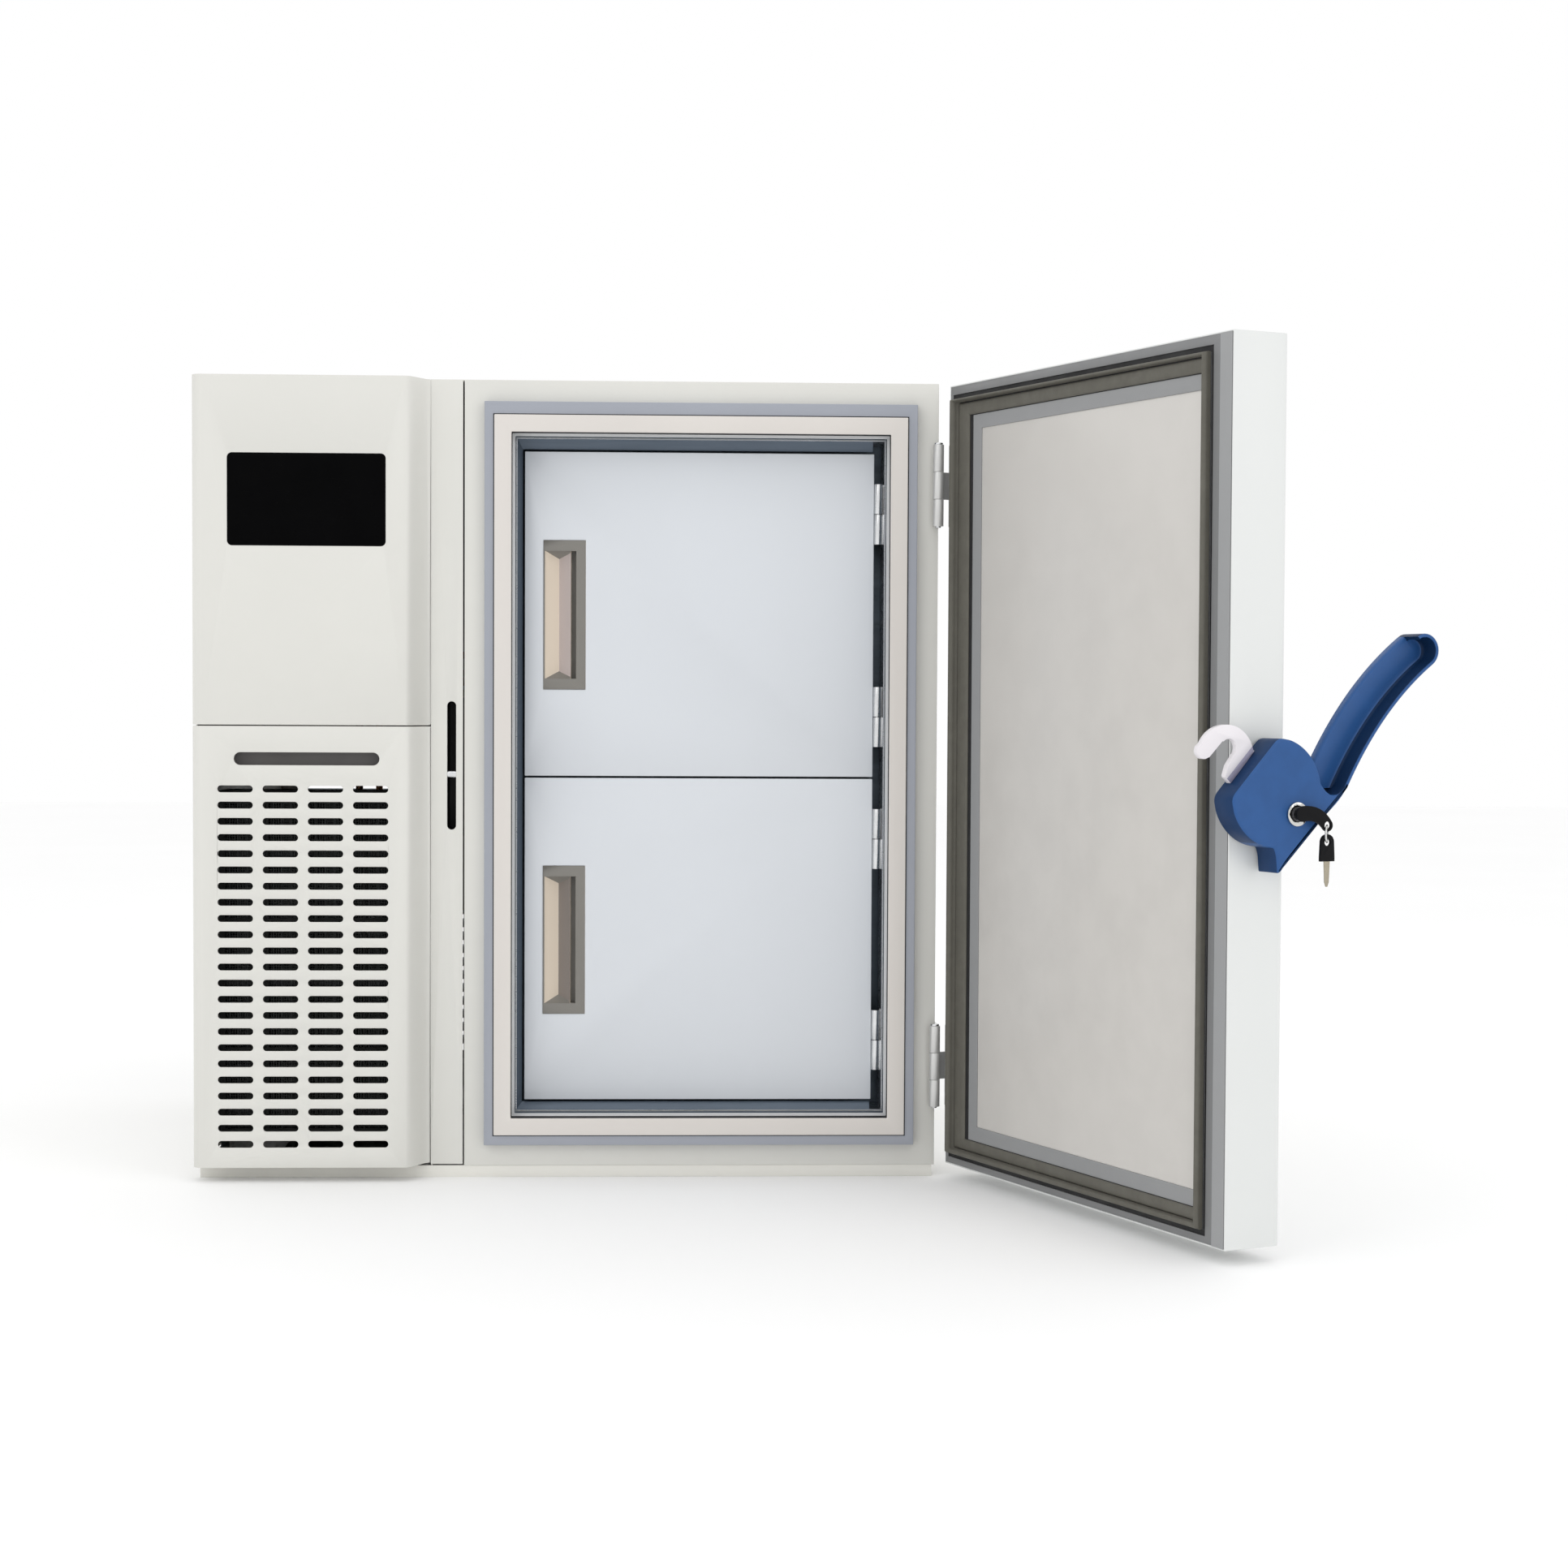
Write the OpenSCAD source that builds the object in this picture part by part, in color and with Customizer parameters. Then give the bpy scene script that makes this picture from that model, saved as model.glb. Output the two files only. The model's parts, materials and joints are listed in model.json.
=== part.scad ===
/* [Cabinet] */
// Width of the cabinet, both bays together
cab_w = 755; // [735:1:800]
// Height of the cabinet from the floor to its top
cab_h = 815; // [805:1:860]
// Depth of the cabinet behind its front plane
cab_d = 560; // [550:1:640]
// Width of the machine bay on the left
bay_w = 270; // [262:1:276]
// Thickness of the sheet-metal skins
sheet = 1.5; // [1.2:0.1:2]
// Height of the base tray under the cabinet
base_h = 12; // [11:0.5:16]
// How far the base tray stays inside the cabinet's sides
base_inset = 2.5; // [1:0.5:6]

/* [Bulged front] */
// How far the left front stands proud of the front plane
bulge = 29.5; // [24:0.5:34]
// Width of the flat part of the bulged front
bulge_flat = 214.5; // [206:0.5:216]
// Width of the S-curve beside it
bulge_curve = 23; // [18:0.5:24]
// Radius of the rounded left front corner
bulge_corner = 10; // [6:0.5:14]
// Wall of the bulged panels
bulge_wall = 2; // [1.5:0.1:2.4]
// Height of the line between the upper panel and the service cover
split_z = 463; // [461:0.5:468]
// Width of the visible gaps between panels
panel_gap = 1.2; // [0.8:0.1:1.6]
// Underside of the bulged panels
bulge_bottom = 15; // [13.5:0.5:17]

/* [Display] */
// Width of the touch display
screen_w = 158; // [150:0.5:162]
// Height of the touch display
screen_h = 92.5; // [86:0.5:96]
// Distance from the cabinet's top to the display
screen_top = 78.5; // [70:0.5:90]
// Left edge of the display from the cabinet's side
screen_left = 36.5; // [34:0.5:40]
// Radius of the display's corners
screen_r = 5; // [3:0.5:8]

/* [Grille and finger slot] */
// Number of slot columns in the grille
grille_columns = 4; // [3:1:4]
// Number of slot rows in the grille
grille_rows = 23; // [18:1:23]
// Length of one grille slot
slot_w = 35.5; // [32:0.5:37]
// Height of one grille slot
slot_h = 7; // [6:0.1:8]
// Distance between slot columns
slot_pitch_x = 45.3; // [43:0.1:46]
// Distance between slot rows
slot_pitch_z = 16.36; // [15:0.01:16.6]
// Middle of the lowest row
slot_low_z = 39; // [37:0.5:42]
// Left end of the first column from the cabinet's side
slot_left = 26; // [25:0.5:28]
// Length of the finger slot
finger_w = 146; // [140:1:150]
// Height of the finger slot
finger_h = 13; // [12:0.5:14]
// Middle height of the finger slot
finger_z = 429.5; // [428:0.5:432]

/* [Storage opening] */
// Face width beside the gray seat ring
face_edge = 22.5; // [20:0.5:24]
// Face height above and below the gray seat ring
face_edge_z = 22.75; // [20:0.25:24]
// Width of the gray seat ring at its sides
seat_w = 10; // [8:0.5:11]
// Height of the gray seat ring's top bar
seat_top = 13.5; // [12:0.5:15]
// Height of the gray seat ring's bottom bar
seat_low = 10.5; // [9:0.5:12]
// Width of the cream breaker ring
breaker_w = 17.5; // [16:0.5:20]
// Thickness of the thin inner lip
lip_w = 3; // [2.5:0.5:4]
// How far the gray seat ring stands proud
seat_proud = 12; // [10:0.5:13]
// How far the cream ring stands proud of the gray one
breaker_proud = 3; // [1:0.5:4]
// Depth of the storage chamber behind the inner doors
chamber_d = 400; // [380:1:410]

/* [Inner doors] */
// Depth of the inner doors' faces behind the front plane
inner_y = 20; // [18:0.5:24]
// Thickness of an inner door
inner_t = 38; // [34:0.5:40]
// Gap between an inner door and the throat on the free side
inner_gap_free = 7.5; // [7:0.5:9]
// Gap between an inner door and the throat on the hinge side
inner_gap_hinge = 10.3; // [10:0.1:12]
// Gap above the upper inner door
inner_gap_top = 12.5; // [10:0.5:13]
// Gap below the lower inner door
inner_gap_low = 10; // [9:0.5:12]
// Gap between the two inner doors
inner_split = 2.2; // [1.6:0.1:3]
// Width of a pull tray
tray_w = 43; // [40:0.5:46]
// Height of a pull tray
tray_h = 153; // [146:1:156]
// Depth of a pull tray
tray_d = 16; // [13:0.5:18]
// Radius of an inner hinge's knuckle
inner_knuckle_r = 4.4; // [4.2:0.1:4.5]
// Radius of an inner hinge's pin
inner_pin_r = 2; // [1.6:0.1:2.2]
// Height of an inner hinge
inner_hinge_h = 62; // [56:1:66]

/* [Outer door] */
// Angle of the outer door as it stands open
door_rest = 114.4; // [100:0.1:116]
// Gap between the closed door and the front plane
door_gap = 22; // [21.5:0.5:24]
// Thickness of the outer door
door_t = 60; // [56:0.5:64]
// Space under the door
door_low = 14.5; // [13.5:0.5:16]
// Space between the door's top and the cabinet's top
door_top = 2.5; // [1:0.5:4]
// Radius of the door's outer vertical edges
door_r = 7; // [4:0.5:9]
// Width of the gray border on the door's inside
border_w = 22; // [20:0.5:23]
// Width of the gasket's raised bead
bead_w = 8; // [7:0.5:8]
// Width of the gasket's flat flange
flange_w = 16; // [14:0.5:18]
// Width of the gray strip around the door's inner panel
strip_w = 15; // [13:0.5:16]

/* [Outer hinges] */
// Hinge axis inside the cabinet's right side
hinge_in = 0.8; // [0.6:0.1:1]
// Hinge axis in front of the front plane
hinge_front = 8.3; // [8:0.1:9]
// Radius of a hinge knuckle
knuckle_r = 5.5; // [5:0.1:5.8]
// Radius of a hinge pin
pin_r = 3; // [2.5:0.1:3.2]
// Height of a hinge
hinge_h = 83; // [78:1:88]
// Lower end of the lower hinge
hinge_low_z = 74; // [66:1:80]
// Lower end of the upper hinge
hinge_high_z = 669; // [660:1:680]
// Thickness of a hinge leaf
leaf_t = 3; // [2.5:0.1:3]
// Radial running clearance of a pin
run_clear = 0.05; // [0.03:0.01:0.08]

/* [Latch] */
// Height of the latch's pivot
latch_z = 414.2; // [410:0.1:418]
// Pivot behind the door's inner border plane
latch_q = 27.7; // [26:0.1:29]
// Radius of the latch housing
latch_r = 47.5; // [46:0.1:48]
// Radius of the latch's pivot pin
latch_pin_r = 7; // [6:0.1:8]
// Thickness of the latch housing
latch_t = 28; // [26:0.5:30]
// Space between the door's edge and the housing
latch_base_t = 3; // [2.5:0.1:4]
// Distance of the hook's flat face from the pivot
hook_flat = 31.7; // [31:0.1:33]
// Thickness of the hook plate
hook_t = 6; // [5:0.1:7]
// Where the hook plate starts beyond the door's edge
hook_s = 8; // [8:0.1:9]
// Radius of the hook's throat
throat_r = 8; // [7.5:0.1:8.5]
// Radius of the strike pin
strike_r = 4; // [3:0.1:4.5]
// Depth of the strike pin's middle behind the front plane
strike_y = 4.7; // [4.7:0.1:6]
// Height of the strike pin
strike_z = 413.5; // [413:0.1:415]
// Width of the latch slot
latch_slot_w = 9; // [8.6:0.1:10]
// Height of the latch slot
latch_slot_h = 131; // [126:1:134]
// Middle of the latch slot from the seam
latch_slot_in = 11.5; // [11:0.1:12]
// Middle height of the latch slot
latch_slot_z = 422.5; // [420:0.5:424]
// Radius of the lock's chrome ring
lock_r = 10.5; // [9.5:0.1:11]

/* [Machinery] */
// Radius of the condenser fan
fan_r = 78; // [70:1:82]
// Number of fan blades
fan_blades = 5; // [4:1:7]
// Radius of a compressor's shell
comp_r = 70; // [62:1:74]
// Height of a compressor's shell
comp_h = 168; // [150:1:180]
// Number of condenser fins
fins = 21; // [15:1:24]
// Radius of the refrigerant tubes
tube_r = 4; // [3:0.1:4.5]

/* [Hidden] */

$fn = 48;
eps = 0.01;
fit = 0.3;

// Cabinet places, with y = 0 at the front plane
left_x = -cab_w / 2;
right_x = cab_w / 2;
seam_x = left_x + bay_w;
seam_gap = 1.5;
skin_top = cab_h - sheet;
back_y = cab_d - sheet;
bay_x0 = left_x + sheet;
bay_x1 = seam_x;

// Bulged front
curve_x0 = left_x + bulge_flat;
curve_x1 = curve_x0 + bulge_curve;
strip_gap = 0.25;
strip_x0 = curve_x1 + strip_gap;
corner_steps = 6;
curve_steps = 12;

// Rings round the storage opening
seat_x0 = seam_x + face_edge;
seat_x1 = right_x - face_edge;
seat_z0 = base_h + face_edge_z;
seat_z1 = cab_h - face_edge_z;
breaker_x0 = seat_x0 + seat_w;
breaker_x1 = seat_x1 - seat_w;
breaker_z0 = seat_z0 + seat_low;
breaker_z1 = seat_z1 - seat_top;
throat_x0 = breaker_x0 + breaker_w + lip_w;
throat_x1 = breaker_x1 - breaker_w - lip_w;
throat_z0 = breaker_z0 + breaker_w + lip_w;
throat_z1 = breaker_z1 - breaker_w - lip_w;
liner_t = 1.2;
liner_x0 = throat_x0;
liner_x1 = throat_x1;
liner_z0 = throat_z0;
liner_z1 = throat_z1;
liner_y0 = 16;
in_x0 = liner_x0 + liner_t;
in_x1 = liner_x1 - liner_t;
in_z0 = liner_z0 + liner_t;
in_z1 = liner_z1 - liner_t;

// Inner doors
door1_x0 = in_x0 + inner_gap_free;
door1_x1 = in_x1 - inner_gap_hinge;
seal_t = 5;
stop_y = inner_y + inner_t + seal_t + fit;
stop_t = 2;
chamber_y = stop_y + stop_t;
liner_y1 = chamber_y + chamber_d;
low_door_z0 = in_z0 + inner_gap_low;
up_door_z1 = in_z1 - inner_gap_top;
inner_mid_z = (low_door_z0 + up_door_z1) / 2;
low_door_z1 = inner_mid_z - inner_split / 2;
up_door_z0 = inner_mid_z + inner_split / 2;
inner_axis_x = door1_x1 + inner_knuckle_r + 0.3;
inner_axis_y = inner_y;
inner_hinge_in = 31;
tray_in = 19;
tray_low = 89;

// Outer door, drawn closed and then turned open
door_x0 = seam_x;
door_x1 = right_x;
door_z0 = door_low;
door_z1 = cab_h - door_top;
door_y1 = -door_gap;
door_y0 = door_y1 - door_t;
hinge_x = right_x - hinge_in;
hinge_y = -hinge_front;
border_t = 2;
gasket_h = door_gap - seat_proud - 0.4;
leaf_long = 34;
door_leaf_long = 46;

// Latch, drawn on the door's edge: x across the door's thickness, y up, z off the edge
latch_s = latch_base_t + 0.4;
plate_z = latch_s + latch_t;
lock_q = latch_q + 20.4;
lock_z = latch_z - 18.6;
flat_angle = 136.5;

function ring_pts(r, a0, a1, n) = [for (i = [0:n]) let (a = a0 + (a1 - a0) * i / n) r * [cos(a), sin(a)]];
function shift(pts, v) = [for (p = pts) p + v];

// Front line of the bulged left front, inset by w, from left to right
function bulge_line(w) = concat(
    [for (i = [0:corner_steps]) let (a = 180 + 90 * i / corner_steps)
        [left_x + bulge_corner, -bulge + bulge_corner] + (bulge_corner - w) * [cos(a), sin(a)]],
    [for (i = [0:curve_steps]) let (t = i / curve_steps)
        [curve_x0 + bulge_curve * t - w * sin(180 * t) * 0.75,
         -bulge / 2 * (1 + cos(180 * t)) + w * (1 - t)]]
);

module at_front() translate([0, -cab_d / 2, 0]) children();

module block(x0, x1, y0, y1, z0, z1) translate([x0, y0, z0]) cube([x1 - x0, y1 - y0, z1 - z0]);

// A frame in the XZ plane: an outer rectangle less an inner one, from y0 to y1
module frame_ring(x0, x1, z0, z1, w, wz, y0, y1)
    difference() {
        block(x0, x1, y0, y1, z0, z1);
        block(x0 + w, x1 - w, y0 - 1, y1 + 1, z0 + wz, z1 - wz);
    }

// A rounded bar lying along x in the XZ plane, from y0 to y1
module slot_bar(x0, x1, zc, h, y0, y1)
    translate([0, y1, 0]) rotate([90, 0, 0]) linear_extrude(y1 - y0) {
        translate([x0 + h / 2, zc - h / 2]) square([x1 - x0 - h, h]);
        for (x = [x0 + h / 2, x1 - h / 2]) translate([x, zc]) circle(d = h, $fn = 24);
    }

// A plate in the XZ plane with rounded corners
module round_plate(x0, x1, z0, z1, r, y0, y1)
    translate([0, y1, 0]) rotate([90, 0, 0]) linear_extrude(y1 - y0) {
        translate([x0 + r, z0]) square([x1 - x0 - 2 * r, z1 - z0]);
        translate([x0, z0 + r]) square([x1 - x0, z1 - z0 - 2 * r]);
        for (x = [x0 + r, x1 - r], z = [z0 + r, z1 - r]) translate([x, z]) circle(r = r, $fn = 32);
    }

// A round bar between two points
module rod(a, b, r) {
    d = b - a;
    long = norm(d);
    translate(a) rotate([0, acos(d[2] / long), atan2(d[1], d[0])]) cylinder(r = r, h = long, $fn = 24);
}

// A tube along straight stretches with ball joints at its bends
module pipe_run(pts, r) {
    for (i = [0:len(pts) - 2]) rod(pts[i], pts[i + 1], r);
    for (i = [1:len(pts) - 2]) translate(pts[i]) sphere(r = r, $fn = 24);
}

module turned_open()
    at_front() translate([hinge_x, hinge_y, 0]) rotate([0, 0, door_rest])
        translate([-hinge_x, -hinge_y, 0]) children();

// Puts latch work, drawn flat, on the free edge of the outer door
module on_edge()
    turned_open() translate([door_x0, door_y1, 0]) rotate([90, 0, -90]) children();

// Base and casing
foot_r = 15;
foot_in = 42;
foot_places = [for (x = [left_x + foot_in, right_x - foot_in], y = [foot_in, cab_d - foot_in]) [x, y]];

rail_w = 24;
rails = [left_x + 48, left_x + 212, seam_x, 60, right_x - 152, right_x - 72];
module base_tray() color("#dcdcd6") at_front() {
    difference() {
        union() {
            difference() {
                block(left_x + base_inset, right_x - base_inset, 1, cab_d - 1, 0, base_h);
                block(left_x + base_inset + 2, right_x - base_inset - 2, 3, cab_d - 3, 2, base_h + 1);
            }
            for (x = rails) block(x, x + rail_w, 2, cab_d - 2, 1, base_h);
            for (p = foot_places) translate([p[0] - 20, p[1] - 20, 1]) cube([40, 40, base_h - 1]);
        }
        for (p = foot_places) translate([p[0], p[1], -1]) {
            cylinder(r = foot_r + 0.5, h = 6.5);
            cylinder(r = foot_stud_r + run_clear, h = base_h - 1);
        }
    }
}

foot_stud_r = 5;
module levelling_feet() color("#3a3a3c") at_front()
    for (p = foot_places) translate([p[0], p[1], 0]) {
        cylinder(r = foot_r, h = 5);
        cylinder(r = foot_stud_r, h = base_h - 2.5);
    }

module top_panel() color("#dedfd9") at_front()
    block(left_x + sheet, right_x - sheet, sheet, back_y, skin_top, cab_h);

module left_panel() color("#dedfd9") at_front()
    difference() {
        block(left_x, left_x + sheet, 0.4, cab_d, base_h, cab_h);
        for (i = [0:9]) block(left_x - 1, left_x + sheet + 1, cab_d - 230, cab_d - 90, 90 + 16 * i, 96 + 16 * i);
    }

module right_panel() color("#dedfd9") at_front()
    block(right_x - sheet, right_x, sheet, cab_d, base_h, cab_h);

port_x = 140;
port_z = liner_z1 - 58;
port_r = 15;
grille_x0 = left_x + 24;
grille_x1 = seam_x - 24;
grille_z0 = 46;
grille_z1 = 420;

module rear_panel() color("#d3d4cf") at_front()
    difference() {
        block(left_x + sheet, right_x - sheet, back_y, cab_d, base_h, cab_h);
        block(grille_x0, grille_x1, back_y - 1, cab_d + 1, grille_z0, grille_z1);
        block(inlet_x - 24, inlet_x + 46, back_y - 1, cab_d + 1, inlet_z - 18, inlet_z + 18);
        translate([port_x, back_y - 1, port_z]) rotate([-90, 0, 0]) cylinder(r = port_r + 3, h = sheet + 2);
    }

module rear_grille() color("#b9bab6") at_front() {
    frame_ring(grille_x0, grille_x1, grille_z0, grille_z1, 10, 10, back_y - 1, cab_d);
    for (z = [grille_z0 + 24:16:grille_z1 - 16])
        translate([grille_x0 + 9, cab_d - 1, z]) rotate([-35, 0, 0])
            translate([0, -1.2, -7]) cube([grille_x1 - grille_x0 - 18, 1.2, 12]);
}

divider_y = 12;
module bay_divider() color("#b4b8b8") at_front()
    block(seam_x, seam_x + sheet, divider_y, back_y, base_h, skin_top);

coil_y = 10;
module insulation_foam() color("#e8d9a0") at_front()
    difference() {
        block(seam_x + sheet, right_x - sheet, sheet, back_y, base_h, skin_top);
        block(liner_x0, liner_x1, 0, liner_y1 + liner_t, liner_z0, liner_z1);
        block(seat_x0 + 5, seat_x1 - 5, 0, liner_y0, seat_z0 + 5, seat_z1 - 5);
        block(coil_x0 - 8, coil_x1 + 8, liner_y1, liner_y1 + liner_t + coil_y, coil_z0 - 6, coil_z1 + 6);
        translate([port_x, liner_y1, port_z]) rotate([-90, 0, 0]) cylinder(r = port_r + 0.3, h = cab_d);
    }

module front_frame() color("#dedfd9") at_front()
    difference() {
        block(seam_x + seam_gap, right_x, 0, sheet, base_h, cab_h);
        block(seat_x0 + 5, seat_x1 - 5, -1, sheet + 1, seat_z0 + 5, seat_z1 - 5);
    }

module seat_ring() color("#96969f") at_front()
    difference() {
        block(seat_x0, seat_x1, -seat_proud, 0, seat_z0, seat_z1);
        block(breaker_x0, breaker_x1, -seat_proud - 1, 1, breaker_z0, breaker_z1);
    }

module breaker_frame() color("#d8d1c8") at_front() {
    face_y = -seat_proud - breaker_proud;
    difference() {
        union() {
            block(breaker_x0, breaker_x1, face_y, 0, breaker_z0, breaker_z1);
            block(seat_x0 + 5, seat_x1 - 5, 0, liner_y0, seat_z0 + 5, seat_z1 - 5);
        }
        block(throat_x0 - lip_w, throat_x1 + lip_w, face_y - 1, 1, throat_z0 - lip_w, throat_z1 + lip_w);
        block(throat_x0, throat_x1, 0, liner_y0 + 1, throat_z0, throat_z1);
    }
}

// Cold chamber
module inner_liner() color("#8d99a2") at_front()
    difference() {
        block(liner_x0, liner_x1, liner_y0, liner_y1 + liner_t, liner_z0, liner_z1);
        block(in_x0, in_x1, liner_y0 - 1, liner_y1, in_z0, in_z1);
        translate([port_x, liner_y1 - 1, port_z]) rotate([-90, 0, 0]) cylinder(r = port_r + 0.3, h = 4);
    }

stop_edge = 14;
module stop_frame() color("#46505a") at_front()
    difference() {
        block(in_x0, in_x1, stop_y, stop_y + stop_t, in_z0, in_z1);
        block(in_x0 + stop_edge, in_x1 - stop_edge, stop_y - 1, chamber_y + 1,
              in_z0 + stop_edge, inner_mid_z - stop_edge);
        block(in_x0 + stop_edge, in_x1 - stop_edge, stop_y - 1, chamber_y + 1,
              inner_mid_z + stop_edge, in_z1 - stop_edge);
    }

module storage_shelf() color("#c3c8cb") at_front() {
    block(in_x0, in_x1, chamber_y, liner_y1 - 6, inner_mid_z - 1, inner_mid_z + 1);
    block(in_x0, in_x1, chamber_y, chamber_y + 2, inner_mid_z - 12, inner_mid_z - 1);
    for (x = [in_x0, in_x1 - 2]) block(x, x + 2, chamber_y + 2, liner_y1 - 6, inner_mid_z - 12, inner_mid_z - 1);
}

coil_x0 = -20;
coil_x1 = 100;
coil_z0 = 130;
coil_z1 = 690;
coil_step = 40;
module evaporator_coil() color("#b87333") at_front() translate([0, liner_y1 + liner_t + tube_r, 0]) {
    for (i = [0:(coil_z1 - coil_z0) / coil_step]) {
        z = coil_z0 + i * coil_step;
        rod([coil_x0, 0, z], [coil_x1, 0, z], tube_r);
        if (z + coil_step <= coil_z1) {
            x = i % 2 == 0 ? coil_x1 : coil_x0;
            rod([x, 0, z], [x, 0, z + coil_step], tube_r);
        }
        for (x = [coil_x0, coil_x1]) translate([x, 0, z]) sphere(r = tube_r, $fn = 24);
    }
}

// Front of the machine bay
latch_slot_x = seam_x - latch_slot_in;
pocket_d = 34;
module latch_slot(grow, y0, y1) {
    w = latch_slot_w + 2 * grow;
    h = latch_slot_h + 2 * grow;
    translate([0, y1, 0]) rotate([90, 0, 0]) linear_extrude(y1 - y0)
        translate([latch_slot_x, latch_slot_z]) {
            square([w, h - w], center = true);
            for (e = [-1, 1]) translate([0, e * (h - w) / 2]) circle(d = w, $fn = 32);
        }
}

// The strip with the latch's slot hangs clear of the tray, on the angle that stiffens it from behind
angle_deep = 18;
module latch_strip() color("#dedfd9") at_front() {
    difference() {
        block(strip_x0, seam_x, 0, sheet, base_h + seam_gap, cab_h);
        latch_slot(0, -1, sheet + 1);
    }
    block(strip_x0, strip_x0 + sheet, sheet + fit, sheet + fit + angle_deep, base_h, skin_top);
}

module slot_pocket() color("#101113") at_front()
    difference() {
        block(latch_slot_x - 10, seam_x, sheet, sheet + pocket_d + 2,
              latch_slot_z - latch_slot_h / 2 - 4, latch_slot_z + latch_slot_h / 2 + 4);
        latch_slot(0.5, 0, sheet + pocket_d);
        translate([latch_slot_x - 8, strike_y, strike_z]) rotate([0, 90, 0]) cylinder(r = strike_r, h = 16);
    }

module strike_pin() color("#c8cacc") at_front()
    translate([latch_slot_x - 8, strike_y, strike_z]) rotate([0, 90, 0]) cylinder(r = strike_r, h = 16);

screen_x0 = left_x + screen_left;
screen_z = cab_h - screen_top - screen_h;
module bulged_shell(z0, z1) {
    outer = bulge_line(0);
    inner = bulge_line(bulge_wall);
    translate([0, 0, z0]) linear_extrude(z1 - z0)
        polygon(concat([[left_x, 0]], outer, [for (i = [len(inner) - 1:-1:0]) inner[i]],
                       [[left_x + bulge_wall, 0]]));
}

module bulged_cap(z0, z1)
    translate([0, 0, z0]) linear_extrude(z1 - z0)
        polygon(concat([[left_x + 1, 0]], bulge_line(1)));

module upper_front_panel() color("#dedfd9") at_front()
    difference() {
        union() {
            bulged_shell(split_z + panel_gap / 2, cab_h);
            bulged_cap(split_z + panel_gap / 2, split_z + panel_gap / 2 + bulge_wall);
            bulged_cap(cab_h - bulge_wall, cab_h);
        }
        round_plate(screen_x0 - fit, screen_x0 + screen_w + fit, screen_z - fit, screen_z + screen_h + fit,
                    screen_r, -bulge - 1, -bulge + bulge_wall + 1);
    }

module touch_display() color("#0b0b0d") at_front() {
    round_plate(screen_x0, screen_x0 + screen_w, screen_z, screen_z + screen_h, screen_r,
                -bulge, -bulge + bulge_wall);
    round_plate(screen_x0 - 6, screen_x0 + screen_w + 6, screen_z - 6, screen_z + screen_h + 6, screen_r,
                -bulge + bulge_wall, -bulge + bulge_wall + 3);
    block(screen_x0 + 8, screen_x0 + screen_w - 8, -bulge + bulge_wall + 3, -4,
          screen_z + 8, screen_z + screen_h - 8);
}

finger_x0 = left_x + 42.5;
cover_top = split_z - panel_gap / 2;
pivot_y = -3.5;
pivot_z = bulge_bottom + 4;
pivot_r = 2;
lug_r = 4;
lug_t = 5;
lug_gap = 0.3;
bracket_t = 3;
pivot_places = [left_x + 40, curve_x0 - 48];
module service_cover() color("#dedfd9") at_front()
    difference() {
        union() {
            bulged_shell(bulge_bottom, cover_top);
            bulged_cap(cover_top - bulge_wall, cover_top);
            bulged_cap(bulge_bottom, bulge_bottom + bulge_wall);
            for (x = pivot_places) translate([x + bracket_t + lug_gap, pivot_y, pivot_z]) rotate([0, 90, 0])
                cylinder(r = lug_r, h = lug_t);
        }
        for (c = [0:grille_columns - 1], r = [0:grille_rows - 1])
            slot_bar(left_x + slot_left + c * slot_pitch_x, left_x + slot_left + c * slot_pitch_x + slot_w,
                     slot_low_z + r * slot_pitch_z, slot_h, -bulge - 1, -bulge + bulge_wall + 1);
        slot_bar(finger_x0, finger_x0 + finger_w, finger_z, finger_h, -bulge - 1, -bulge + bulge_wall + 1);
        block(left_x - 1, left_x + bulge_wall + 1, -2.4, 1, bulge_bottom - 1, pivot_z + 1);
        for (x = pivot_places) {
            block(x - 0.6, x + bracket_t + lug_gap, pivot_y - 6, 1, bulge_bottom - 1, bulge_bottom + 3);
            translate([x, pivot_y, pivot_z]) rotate([0, 90, 0]) cylinder(r = pivot_r + run_clear, h = 12);
        }
    }

module finger_recess() color("#646161") at_front()
    difference() {
        block(finger_x0 - 4, finger_x0 + finger_w + 4, -bulge + bulge_wall, -bulge + 16,
              finger_z - finger_h / 2 - 4, finger_z + finger_h / 2 + 4);
        slot_bar(finger_x0, finger_x0 + finger_w, finger_z, finger_h, -bulge, -bulge + 13);
    }

module cover_pivots() color("#8f9294") at_front()
    for (x = pivot_places) {
        block(x, x + bracket_t, pivot_y - 4, 9, base_h + 2, pivot_z + 4);
        block(x, x + bracket_t, 1.5, 9, base_h, base_h + 3);
        translate([x, pivot_y, pivot_z]) rotate([0, 90, 0]) cylinder(r = pivot_r, h = bracket_t + lug_gap + lug_t);
    }

// Cooling machinery
cond_x0 = left_x + 22;
cond_x1 = cond_x0 + 196;
cond_z0 = 44;
cond_z1 = 396;
cond_y0 = 10;
cond_d = 40;
cond_y1 = cond_y0 + cond_d;

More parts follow.
